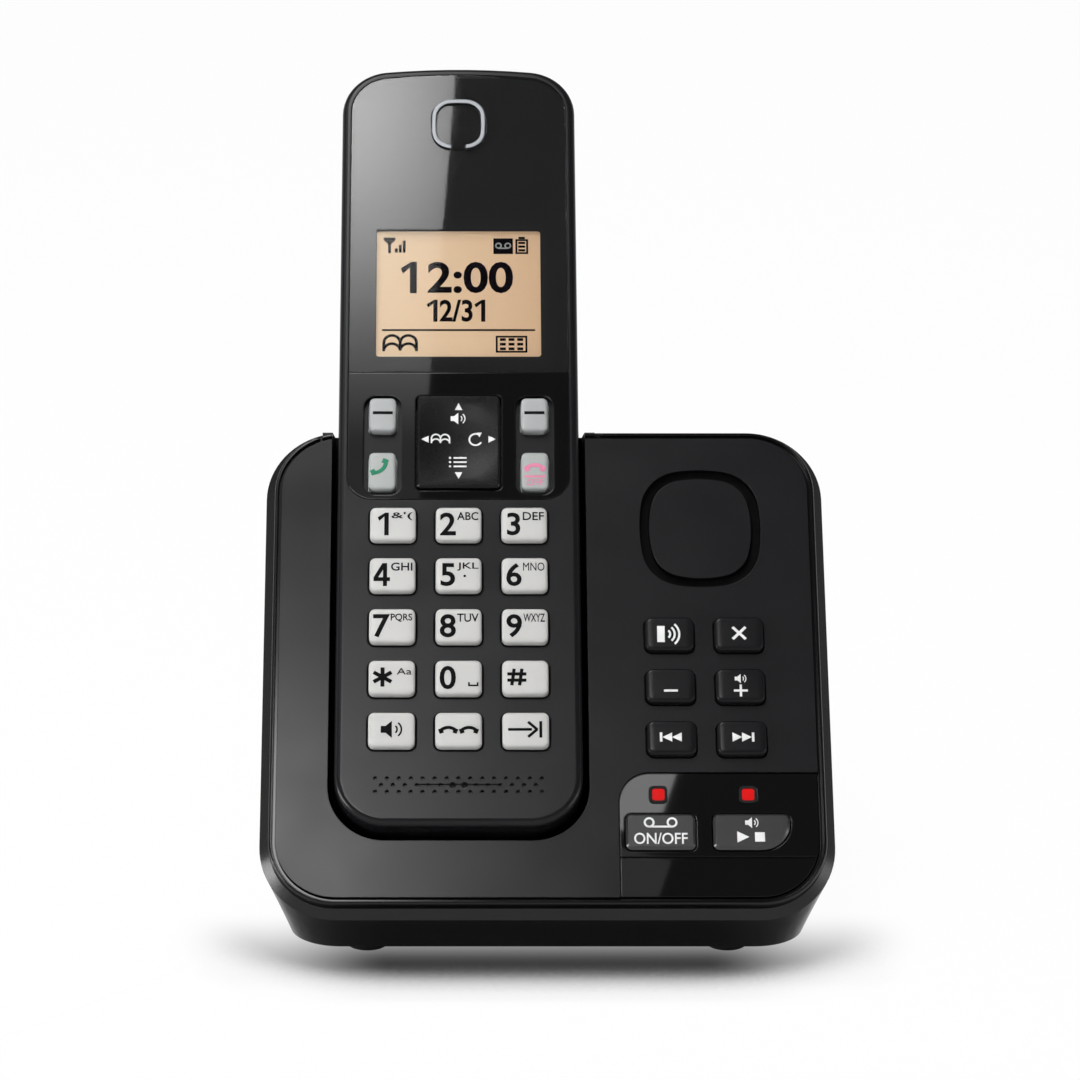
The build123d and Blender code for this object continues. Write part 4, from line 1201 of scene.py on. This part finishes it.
@dataclass
class ControlKeys:
    """The soft keys, the talk and off keys and the rocking navigator."""

    offset: float = 15.15
    soft_rise: float = 86.87
    soft_slot: str = "soft_key_silver"
    soft: KeyForm = field(default_factory=lambda: KeyForm(5.35, 7.3, 1.1, 0.6, edge=0.45, crown=0.02))
    call_rise: float = 74.45
    call_slot: str = "call_key_pale"
    call: KeyForm = field(default_factory=lambda: KeyForm(5.35, 8.05, 1.1, 0.6, edge=0.45, crown=0.02))
    navigator_rise: float = 80.85
    navigator_slot: str = "navigator_black"
    dish_low: float = 0.5  # height of the navigator's hollow top in its middle
    dish_radius: float = 110.0
    print_gap: float = 0.01

    def build(self) -> None:
        """Makes the four side keys and dresses the navigator."""
        talk = Stencil().receiver(0.0, 0.2, 4.0, math.radians(-135))
        off = Stencil().receiver(0.0, 1.2, 3.8).bar(0.0, -1.3, 4.2, 0.45)
        off.letters("OFF", 0.0, -2.6, 1.4, weight=0.01)
        for x, soft_name, call_name, sign, ink in (
            (-self.offset, "soft_key_left", "talk_key", talk, INK_GREEN),
            (self.offset, "soft_key_right", "off_key", off, INK_PINK),
        ):
            plane = plane_at(handset_plane, x, self.soft_rise)
            self.soft.mould(soft_name, plane, SOFT_KEY, self.soft_slot)
            dash = Stencil().bar(0.0, 0.3, 4.0, 0.65)
            self.soft.stamp(soft_name, "dash", dash, plane, INK_BLACK, self.soft_slot)
            plane = plane_at(handset_plane, x, self.call_rise)
            self.call.mould(call_name, plane, CALL_KEY, self.call_slot)
            self.call.stamp(call_name, "sign", sign, plane, ink, self.call_slot)
        self.navigator()

    def navigator(self) -> None:
        """Dresses the navigator and prints its arrows and signs."""
        smoothed("navigator_key", NAVIGATOR_BLACK, self.navigator_slot)
        marks = Stencil()
        marks.arrow(0.0, 7.6, 1.5, Facing.UP)
        marks.speaker(-0.1, 5.0, 3.0)
        marks.arrow(-6.7, 0.4, 1.5, Facing.LEFT)
        marks.book(-3.6, 0.55, 3.6, 0.32)
        marks.arrow(6.7, 0.4, 1.5, Facing.RIGHT)
        marks.arc(3.4, 0.4, 1.25, 0.36, 60, 330)
        marks.arrow(4.15, 1.4, 1.0, Facing.DOWN)
        for step in (-1, 0, 1):
            marks.bar(0.3, -4.6 + step * 0.95, 2.6, 0.36)
            marks.dot(-1.7, -4.6 + step * 0.95, 0.24)
        marks.arrow(0.0, -7.6, 1.5, Facing.DOWN)
        plane = plane_at(handset_plane, 0.0, self.navigator_rise)
        names = ("navigator_key", self.navigator_slot)
        printed("navigator_signs", marks, plane, self.dish, INK_WHITE, *names)

    def dish(self, x: float, y: float) -> float:
        """The height of the navigator's hollow top, just clear of it for print."""
        return self.dish_low + (x * x + y * y) / (2 * self.dish_radius) + self.print_gap


@dataclass
class DisplayPanel:
    """The clear panel of the handset, the print behind it and the picture on the display."""

    slot: str = "display_amber"
    window_width: float = 33.3
    window_height: float = 28.7
    window_rise: float = 114.7
    window_corner: float = 0.6
    glass_depth: float = 1.85
    glass_border: float = 0.7
    glass_thickness: float = 0.03
    dark_lift: float = 0.04  # the dark segments' height over the lit field
    square_lift: float = 0.055
    pale_lift: float = 0.075
    mask_depth: float = 1.12
    mask_thickness: float = 0.02
    panel_width: float = 43.9
    panel_low: float = 97.0
    panel_high: float = 164.9
    panel_corner: float = 8.2

    def build(self) -> None:
        """Makes the panel's pieces from the back to the front."""
        self.lit_field()
        self.picture()
        self.message_sign()
        self.key_sign()
        self.mask()
        smoothed("display_lens", CLEAR_LENS, "clear_lens")
        smoothed("control_bezel", GLOSS_BLACK, "gloss_black")
        smoothed("earpiece_ring", CHROME, "chrome_trim")

    def lay(self, name: str, marks: Stencil, lift: float, ink: Finish) -> None:
        """Lays marks over the lit field, about the window's middle."""
        plane = plane_at(handset_plane, 0.0, self.window_rise, -self.glass_depth)
        printed(name, marks, plane, level(lift), ink, HANDSET_BODY, self.slot)

    def lit_field(self) -> None:
        """The lit field of the display, which carries its own flat map in millimetres."""
        width, height = (size + 2 * self.glass_border for size in (self.window_width, self.window_height))
        outline = rounded(width, height, self.window_corner)
        mesh = bmesh.new()
        loft(mesh, [(outline, 0.0), (outline, self.glass_thickness)])
        flat = mesh.loops.layers.uv.new("millimetres")
        for face in mesh.faces:
            for corner in face.loops:
                corner[flat].uv = corner.vert.co.xy
        plane = plane_at(handset_plane, 0.0, self.window_rise, -self.glass_depth)
        built("display_field", mesh, plane, DISPLAY, HANDSET_BODY, self.slot)

    def picture(self) -> None:
        """The time, a date in figures and plain signs, as dark segments."""
        marks = Stencil()
        marks.one(-9.2, 4.1, 7.2, 1.4)
        marks.letters("2:00", 2.4, 4.1, 7.2, weight=0.024, width=17.4)
        marks.letters("2/3", -0.5, -3.5, 5.0, 0.82, 0.022)
        for x in (-4.7, 5.0):
            marks.one(x, -3.5, 5.0, 0.85)
        marks.bar(0.0, -7.9, 31.0, 0.4)
        marks.bar(-14.1, 11.4, 0.6, 3.4)
        marks.bar(-14.1, 13.0, 2.4, 0.55)
        for side in (-1, 1):
            marks.bar(-14.1 + side * 0.55, 12.4, 1.5, 0.5, side * math.radians(48))
        for step, height in enumerate((1.0, 1.8, 2.8)):
            marks.bar(-12.7 + step * 0.8, 9.8 + height / 2, 0.6, height)
        marks.box(12.9, 11.2, 2.6, 3.4, 0.4)
        marks.bar(12.9, 13.2, 1.3, 0.5)
        for step in (-1, 0, 1):
            marks.bar(12.9, 11.2 + step * 0.85, 1.4, 0.5)
        marks.book(-11.8, -10.9, 6.6, 0.6)
        self.lay("display_picture", marks, self.dark_lift, DISPLAY_DARK)

    def message_sign(self) -> None:
        """A dark patch with a pale tape sign."""
        patch = Stencil().bar(9.1, 11.3, 4.0, 3.6)
        self.lay("display_message_patch", patch, self.dark_lift, DISPLAY_DARK)
        sign = Stencil().bar(9.1, 10.8, 1.9, 0.3)
        for side in (-1, 1):
            sign.ring(9.1 + side * 0.95, 11.4, 0.55, 0.3)
        self.lay("display_message_sign", sign, self.pale_lift, CALL_KEY)

    def key_sign(self) -> None:
        """A small keypad sign: a frame with rows of squares."""
        x, y = 10.7, -11.1
        self.lay("display_key_frame", Stencil().box(x, y, 6.4, 3.8, 0.4), self.dark_lift, DISPLAY_DARK)
        size = (1.2, 0.6, 0.03)
        squares = repeated_blocks("display_key_squares", (3, 3), (1.75, 1.05), size, DISPLAY_DARK)
        height = self.square_lift - self.glass_depth
        squares.data.transform(plane_at(handset_plane, x, self.window_rise + y, height))
        show(squares, HANDSET_BODY, self.slot)

    def mask(self) -> None:
        """The black print on the back of the panel, open at the window."""
        half, middle = self.panel_width / 2, (self.panel_low + self.panel_high) / 2
        outer = [
            (x, y + middle) if y > 0 else (math.copysign(half, x), self.panel_low)
            for x, y in rounded(self.panel_width, self.panel_high - self.panel_low, self.panel_corner)
        ]
        window = rounded(self.window_width, self.window_height, self.window_corner)
        inner = moved(window, 0.0, self.window_rise)
        mesh = bmesh.new()
        for height in (0.0, self.mask_thickness):
            skin(mesh, [raised(mesh, outline, height) for outline in (outer, inner)])
        plane = plane_at(handset_plane, 0.0, 0.0, -self.mask_depth)
        built("display_mask", mesh, plane, MASK_PRINT, HANDSET_BODY, "gloss_black")


@dataclass
class BaseKeys:
    """The small keys, the wide keys, the lamps, the gloss panel and the loudspeaker ring of the base."""

    form: KeyForm = field(
        default_factory=lambda: KeyForm(
            9.6, 7.1, 1.4, 1.6, edge=0.7, crown=0.03, flange=0.7, flange_top=2.25, foot=4.98, stem=2.0
        )
    )
    slot: str = "base_key_grey"
    first: Point = (24.2, 33.5)
    pitch: Point = (13.6, 10.9)
    rows: KeyRows = (
        ("rewind_key", "forward_key"),
        ("volume_down_key", "volume_up_key"),
        ("locator_key", "erase_key"),
    )
    wide_slot: str = "wide_key_grey"
    wide_places: Point = (21.7, 39.2)
    wide_rise: float = 14.65
    wide_top: float = 0.42
    lamp_places: Point = (21.4, 38.7)
    lamp_rise: float = 22.3
    lamp_shade_rim: Point = (3.5, 0.9)  # the painted shade rim's size and its corners' radius
    lamp_hole: Point = (2.4, 0.5)
    lamp_depths: Point = (-0.32, -0.1)
    ring_place: Place = (30.8, 78.5, -1.28)
    ring_size: Point = (24.0, 25.4)
    ring_groove: float = 1.9
    cloth_gap: float = 0.05
    cloth_thickness: float = 0.12

    def build(self) -> None:
        """Makes the small keys and dresses the panel, the lamps and the wide keys."""
        for name, x, y in key_places(self.rows, self.first, self.pitch):
            plane = plane_at(face_plane, x, y)
            self.form.mould(name, plane, BASE_KEY, self.slot)
            self.form.stamp(name, "sign", self.sign(name), plane, INK_WHITE, self.slot)
        self.ring_shade_cloth()
        smoothed("base_control_panel", GLOSS_BLACK, "gloss_black")
        smoothed("indicator_lenses", LAMP_RED, "lamp_red")
        self.lamp_shade_rims()
        self.wide_keys()

    def ring_shade_cloth(self) -> None:
        """A strip of near-black cloth on the floor of the loudspeaker ring, whose darkness is painted shade
        for the groove.
        """
        insets = (self.cloth_gap, self.ring_groove - self.cloth_gap)
        outer, inner = (bowed(*(size - 2 * inset for size in self.ring_size)) for inset in insets)
        mesh = bmesh.new()
        strip(mesh, outer, inner, 0.0, self.cloth_thickness)
        plane = plane_at(face_plane, *self.ring_place)
        built("speaker_ring_shade_cloth", mesh, plane, CLOTH_AND_SHADE, BASE_BODY, "base_shell")

    def lamp_shade_rims(self) -> None:
        """A dark rim round each lamp, painted shade for the gap round it."""
        mesh = bmesh.new()
        for x in self.lamp_places:
            outer, inner = (
                moved(rounded(size, size, corner), x, self.lamp_rise)
                for size, corner in (self.lamp_shade_rim, self.lamp_hole)
            )
            strip(mesh, outer, inner, *self.lamp_depths)
        built("lamp_shade_rims", mesh, face_plane, SOCKET_PLASTIC, BASE_BODY, "gloss_black")

    def sign(self, name: str) -> Stencil:
        """The white sign of one small key.

        Args:
            name: the key's name.

        Returns:
            Its marks.
        """
        marks = Stencil()
        if name in ("rewind_key", "forward_key"):
            side, facing = (-1, Facing.LEFT) if name == "rewind_key" else (1, Facing.RIGHT)
            marks.bar(side * 2.1, 0.0, 0.5, 1.9)
            return marks.arrow(side * 0.9, 0.0, 1.9, facing).arrow(side * -0.95, 0.0, 1.9, facing)
        if name == "volume_down_key":
            return marks.bar(0.0, -1.2, 2.7, 0.45)
        if name == "volume_up_key":
            return marks.speaker(0.0, 1.3, 2.3).bar(0.0, -1.2, 2.7, 0.45).bar(0.0, -1.2, 0.45, 2.5)
        if name == "locator_key":
            marks.bar(-1.7, -0.2, 1.5, 3.4)
            for radius in (1.0, 1.9, 2.8):
                marks.arc(-0.9, -0.2, radius, 0.42, -48, 48)
            return marks
        for turn in (45, -45):
            marks.bar(0.0, 0.0, 3.6, 0.55, math.radians(turn))
        return marks

    def wide_keys(self) -> None:
        """Dresses the two wide keys and prints their words and signs."""
        words = Stencil().letters("ON/OFF", 0.0, -1.5, 2.3, 0.9, 0.012)
        for side in (-1, 1):
            words.ring(side * 2.2, 1.75, 0.85, 0.4)
        words.bar(0.0, 0.9, 4.4, 0.4)
        signs = Stencil().arrow(-1.7, -1.2, 2.3, Facing.RIGHT)
        signs.bar(1.5, -1.2, 1.9, 1.9).speaker(0.0, 1.7, 2.6)
        prints = (("answer_key", "words", words), ("play_stop_key", "signs", signs))
        for x, (name, kind, marks) in zip(self.wide_places, prints):
            smoothed(name, WIDE_KEY, self.wide_slot)
            plane = plane_at(face_plane, x, self.wide_rise)
            top = level(self.wide_top)
            printed(f"{name}_{kind}", marks, plane, top, INK_WHITE, name, self.wide_slot)


@dataclass
class Housings:
    """The moulded shells of both halves and the pieces that show in them from behind and below."""

    face_width: float = 107.4
    face_length: float = 99.6
    face_corner: float = 13.0
    rim_width: float = 1.38
    rim_height: float = 2.7
    plate_depth: float = 0.25
    case_crease: float = 12.0  # the case's bevel meets its walls at a small angle
    wire_count: int = 4
    wire_pitch: float = 1.27
    wire_size: Place = (0.45, 7.5, 0.45)
    wire_place: Place = (30.0, 0.25, 20.2)
    wire_turn: float = 12.0
    handset_shells: tuple[str, ...] = ("handset_front_case", "handset_rear_case", "battery_cover")
    inner_finishes: tuple[tuple[str, Finish], ...] = (
        ("earpiece_receiver", STEEL),
        ("lcd_module", DISPLAY_DARK),
        ("lcd_backlight", BACKLIGHT),
        ("handset_circuit_board", BOARD),
        ("base_circuit_board", BOARD),
        ("handset_key_mat", RUBBER),
        ("base_key_mat", RUBBER),
        ("navigator_pivot", RUBBER),
        ("handset_microphone", STEEL),
        ("handset_loudspeaker", SPEAKER),
        ("base_speaker", SPEAKER),
        ("battery_cells", SLEEVE),
        ("battery_contacts", CONTACT),
        ("handset_charge_contacts", CONTACT),
        ("charge_contacts", CONTACT),
        ("handset_screws", STEEL),
        ("base_screws", STEEL),
        ("line_socket", SOCKET_PLASTIC),
        ("power_socket", SOCKET_PLASTIC),
        ("rubber_feet", FOOT_RUBBER),
    )

    def build(self) -> None:
        """Dresses the shells, the inner solids and the socket's wires."""
        self.zones(smoothed("base_top_cover", BASE_SHELL, "base_shell"))
        smoothed("base_bottom_case", BASE_CASE, "base_shell", self.case_crease)
        for node in self.handset_shells:
            smoothed(node, HANDSET_SHELL, "handset_shell")
        for node, finish in self.inner_finishes:
            for entry in frame["nodes"][node].material_slots:
                entry.material = finish.make()
        counts, pitch = (self.wire_count, 1), (self.wire_pitch, 0.0)
        wires = repeated_blocks("line_socket_wires", counts, pitch, self.wire_size, GOLD_WIRE)
        turn = Matrix.Rotation(math.radians(self.wire_turn), 4, "X")
        wires.data.transform(plane_at(room_plane, *self.wire_place) @ turn)
        show(wires, BASE_BODY, "contact_metal")

    def zones(self, cover: bpy.types.Object) -> None:
        """Gives the cover's rim its polish and a darker colour painted as shade, and paints its hollows
        near black as shade.

        Args:
            cover: the copy of the base's top cover.
        """
        for finish in (RIM_POLISH_AND_SHADE, PAINTED_SHADE_BLACK):
            cover.data.materials.append(finish.make())
        to_face = face_plane.inverted()
        for face in cover.data.polygons:
            x, y, z = to_face @ face.center
            across = abs(x) - self.face_width / 2 + self.face_corner
            along = abs(y - self.face_length / 2) - self.face_length / 2 + self.face_corner
            past = math.hypot(max(across, 0.0), max(along, 0.0)) + min(max(across, along), 0.0)
            # painted shade: the rim darker than the cover, the hollows near black
            if past > self.face_corner - self.rim_width and z > -self.rim_height:
                face.material_index = 1
            elif z < -self.plate_depth:
                face.material_index = 2


@dataclass(frozen=True)
class Lamp:
    """A soft rectangular lamp that the camera doesn't see.

    Attributes:
        name: what it is called.
        place: its middle, in metres.
        size: its sides, in metres.
        power: in watts.
        turn: its angles about x, y and z, in degrees.
    """

    name: str
    place: Place
    size: Point
    power: float
    turn: Place

    def hang(self) -> None:
        """Puts the lamp in the scene."""
        light = bpy.data.lights.new(self.name, "AREA")
        light.shape = "RECTANGLE"
        light.size, light.size_y = self.size
        light.energy = self.power
        holder = placed(self.name, light)
        holder.location = self.place
        holder.rotation_euler = [math.radians(angle) for angle in self.turn]
        holder.visible_camera = False


@dataclass
class Studio:
    """A pale floor, a lit card overhead, soft lamps and a camera in front; places are in metres.

    Attributes:
        camera_place: the camera's place in millimetres.
        camera_drop: how far it looks down, in degrees.
        lens: its focal length in millimetres.
        sensor: the width of its picture in millimetres.
        shift: how far the picture is moved aside, as a share of its width.
        floor_reach: half the floor's size.
        floor_lit: the share of the floor's own white in what is seen of it.
        shade_reach: how near a thing has to be to shade the floor.
        shade_open: the openness where the shade starts and where it is full.
        shade_front: where the shade in front starts and where it is full.
        shade_back: the same behind.
        shade_side: the same from the sides inwards.
        side_share: how deep the front shade is at the sides.
        middle_share: how much deeper it is in the middle.
        card_height: how high the card hangs.
        card_front: its front end.
        card_back: its back end.
        card_left: its left end.
        card_edge: a point on its right edge.
        card_turn: the slant of that edge in degrees.
        card_glow: the card's least strength.
        card_start: where its plain light starts, from the front.
        card_patches: strengths of its bright patches, with where each one rises and falls.
        wall_rise: the heights of the sky between which the walls turn into the ceiling.
        wall_light: the strength of the walls and of the ceiling.
        lamps: two small ones overhead that the control panel mirrors, and one low on each side.
    """

    camera_place: Place = (-17.1, -775.5, 315.2)
    camera_drop: float = 18.0
    lens: float = 134.33
    sensor: float = 36.0
    shift: float = 0.0754
    floor_reach: float = 30.0
    floor_lit: float = 0.97
    shade_reach: float = 0.024
    shade_open: Point = (0.96, 0.68)
    shade_front: Point = (-0.042, -0.068)
    shade_back: Point = (0.04, 0.062)
    shade_side: Point = (0.056, 0.03)
    side_share: float = 0.52
    middle_share: float = 0.45
    card_height: float = 1.0
    card_front: float = -0.95
    card_back: float = 0.25
    card_left: float = -1.1
    card_edge: Point = (-0.024, -0.285)
    card_turn: float = -4.7
    card_glow: float = 0.5
    card_start: Point = (-0.39, -0.35)
    card_patches: tuple[tuple[float, tuple[float, ...], tuple[float, ...]], ...] = (
        (10.0, (-0.45, -0.25, -0.07, 0.025), (-0.365, -0.225, 0.05, 0.25)),
        (14.5, (-0.4, -0.25, -0.07, 0.0), (-0.85, -0.7, -0.545, -0.49)),
    )
    wall_rise: Point = (0.2, 0.5)
    wall_light: Point = (0.7, 0.12)
    lamps: tuple[Lamp, ...] = (
        Lamp("panel_lamp", (0.057, -0.552, 1.0), (0.05, 0.05), 0.03, (0.0, 0.0, -16.0)),
        Lamp("strip_lamp", (0.064, -0.605, 1.0), (0.03, 0.03), 0.0014, (0.0, 0.0, -16.0)),
        Lamp("left_lamp", (-0.9, -0.36, 0.085), (0.16, 0.62), 5.6, (0.0, -90.0, 0.0)),
        Lamp("right_lamp", (0.9, -0.36, 0.085), (0.16, 0.62), 1.3, (0.0, 90.0, 0.0)),
    )

    def build(self) -> None:
        """Makes the floor, the lights and the camera."""
        bpy.context.scene.view_settings.view_transform = "Standard"
        self.floor()
        self.card()
        for lamp in self.lamps:
            lamp.hang()
        self.room()
        self.camera()

    def sheet(self, name: str, corners: list[Place], material: bpy.types.Material) -> None:
        """A plain sheet of the studio.

        Args:
            name: what it is called.
            corners: its corners in order.
            material: its look.
        """
        shape = bpy.data.meshes.new(name)
        shape.from_pydata(corners, [], [list(range(len(corners)))])
        shape.materials.append(material)
        placed(name, shape)

    def shade(self, tree: bpy.types.NodeTree) -> bpy.types.NodeSocket:
        """How much the telephone shades the floor: before it, behind it and less at the sides.

        Args:
            tree: the floor's nodes.

        Returns:
            A share from 0 to 1.
        """
        around = {"samples": 16, "Distance": self.shade_reach}
        openness = add_node(tree, "ShaderNodeAmbientOcclusion", around).outputs["AO"]
        place = add_node(tree, "ShaderNodeTexCoord").outputs["Object"]
        axes = add_node(tree, "ShaderNodeSeparateXYZ", {0: place}).outputs
        aside = add_node(tree, MATH, {"operation": "ABSOLUTE", 0: axes["X"]}).outputs[0]
        sources = (openness, axes["Y"], axes["Y"], aside)
        limits = (self.shade_open, self.shade_front, self.shade_back, self.shade_side)
        near, before, behind, middle = (
            add_node(tree, RANGE, soft_step(source, *ends)).outputs["Result"]
            for source, ends in zip(sources, limits)
        )
        inwards = {"operation": "MULTIPLY_ADD", 0: middle, 1: self.middle_share, 2: self.side_share}
        share = add_node(tree, MATH, inwards).outputs[0]
        front = add_node(tree, MATH, {"operation": "MULTIPLY", 0: before, 1: share}).outputs[0]
        back = add_node(tree, MATH, {"operation": "MULTIPLY", 0: behind, 1: middle}).outputs[0]
        depth = add_node(tree, MATH, {"operation": "MAXIMUM", 0: front, 1: back}).outputs[0]
        return add_node(tree, MATH, {"operation": "MULTIPLY", 0: near, 1: depth}).outputs[0]

    def floor(self) -> None:
        """A white floor that darkens where the telephone shades it."""
        material = bpy.data.materials.new("painted_studio_floor")
        material.use_nodes = True
        tree = material.node_tree
        looks = {"Base Color": linear("#F2F2F2"), "Roughness": 0.9, "Specular IOR Level": 0.1}
        paint = feed(tree.nodes["Principled BSDF"], looks).outputs["BSDF"]
        rays = add_node(tree, "ShaderNodeLightPath").outputs
        seen = rays["Is Camera Ray"]
        for ray in ("Is Glossy Ray", "Is Transmission Ray"):
            seen = add_node(tree, MATH, {"operation": "MAXIMUM", 0: seen, 1: rays[ray]}).outputs[0]
        lit = add_node(tree, MATH, {"operation": "MULTIPLY", 0: seen, 1: self.floor_lit}).outputs[0]
        light = add_node(tree, MATH, {"operation": "SUBTRACT", 0: 1.0, 1: self.shade(tree)}).outputs[0]
        white = add_node(tree, "ShaderNodeEmission", {"Strength": light}).outputs["Emission"]
        mixed = add_node(tree, "ShaderNodeMixShader", {0: lit, 1: paint, 2: white})
        feed(tree.nodes["Material Output"], {"Surface": mixed.outputs[0]})
        reach = self.floor_reach
        corners = [(-reach, -reach, 0.0), (reach, -reach, 0.0), (reach, reach, 0.0), (-reach, reach, 0.0)]
        self.sheet("floor", corners, material)

    def card(self) -> None:
        """The key light: a large lit card overhead on the left, brighter towards two of its corners.

        Its straight right edge is what the gloss panels mirror.
        """
        material = bpy.data.materials.new("lit_card")
        material.use_nodes = True
        tree = material.node_tree
        tree.nodes.remove(tree.nodes["Principled BSDF"])
        place = add_node(tree, "ShaderNodeTexCoord").outputs["Object"]
        axes = add_node(tree, "ShaderNodeSeparateXYZ", {0: place}).outputs
        plain = add_node(tree, RANGE, soft_step(axes["Y"], *self.card_start)).outputs["Result"]
        glow = add_node(tree, MATH, {"operation": "ADD", 0: plain, 1: self.card_glow}).outputs[0]
        for strength, across, along in self.card_patches:
            patch = strength
            for axis, ends in (("X", across), ("Y", along)):
                for start, end in (ends[:2], ends[:1:-1]):
                    step = add_node(tree, RANGE, soft_step(axes[axis], start, end)).outputs["Result"]
                    patch = add_node(tree, MATH, {"operation": "MULTIPLY", 0: patch, 1: step}).outputs[0]
            glow = add_node(tree, MATH, {"operation": "ADD", 0: glow, 1: patch}).outputs[0]
        light = add_node(tree, "ShaderNodeEmission", {"Strength": glow}).outputs["Emission"]
        feed(tree.nodes["Material Output"], {"Surface": light})
        edge_x, edge_y = self.card_edge
        slant = math.tan(math.radians(-self.card_turn))
        sides = [(self.card_left, self.card_front), (self.card_left, self.card_back)]
        sides += [(edge_x + slant * (y - edge_y), y) for y in (self.card_back, self.card_front)]
        self.sheet("lit_card", [(x, y, self.card_height) for x, y in sides], material)

    def room(self) -> None:
        """The room's own light: pale walls at eye height, a dim ceiling."""
        world = bpy.data.worlds.new("room")
        world.use_nodes = True
        tree = world.node_tree
        place = add_node(tree, "ShaderNodeTexCoord").outputs["Generated"]
        height = add_node(tree, "ShaderNodeSeparateXYZ", {0: place}).outputs["Z"]
        walls, ceiling = self.wall_light
        light = soft_step(height, *self.wall_rise) | {"To Min": walls, "To Max": ceiling}
        strength = add_node(tree, RANGE, light).outputs["Result"]
        feed(tree.nodes["Background"], {"Color": linear("#FFFFFF"), "Strength": strength})
        bpy.context.scene.world = world

    def camera(self) -> None:
        """The camera at the photograph's place."""
        view = bpy.data.cameras.new("camera")
        view.lens = self.lens
        view.sensor_width = self.sensor
        view.sensor_fit = "HORIZONTAL"
        view.shift_x = self.shift
        view.clip_start = 0.01
        holder = placed("camera", view)
        holder.location = [MM * value for value in self.camera_place]
        holder.rotation_euler = (math.radians(90 - self.camera_drop), 0.0, 0.0)
        bpy.context.scene.camera = holder


def main() -> None:
    """Builds the telephone and its studio, and logs each part as it is built."""
    logging.basicConfig(level=logging.INFO, format="%(message)s")
    for assembly in (Studio(), Housings(), DisplayPanel(), ControlKeys(), Keypad(), BaseKeys()):
        assembly.build()
        log.info("%s is built", type(assembly).__name__)


if __name__ == "__main__":
    main()
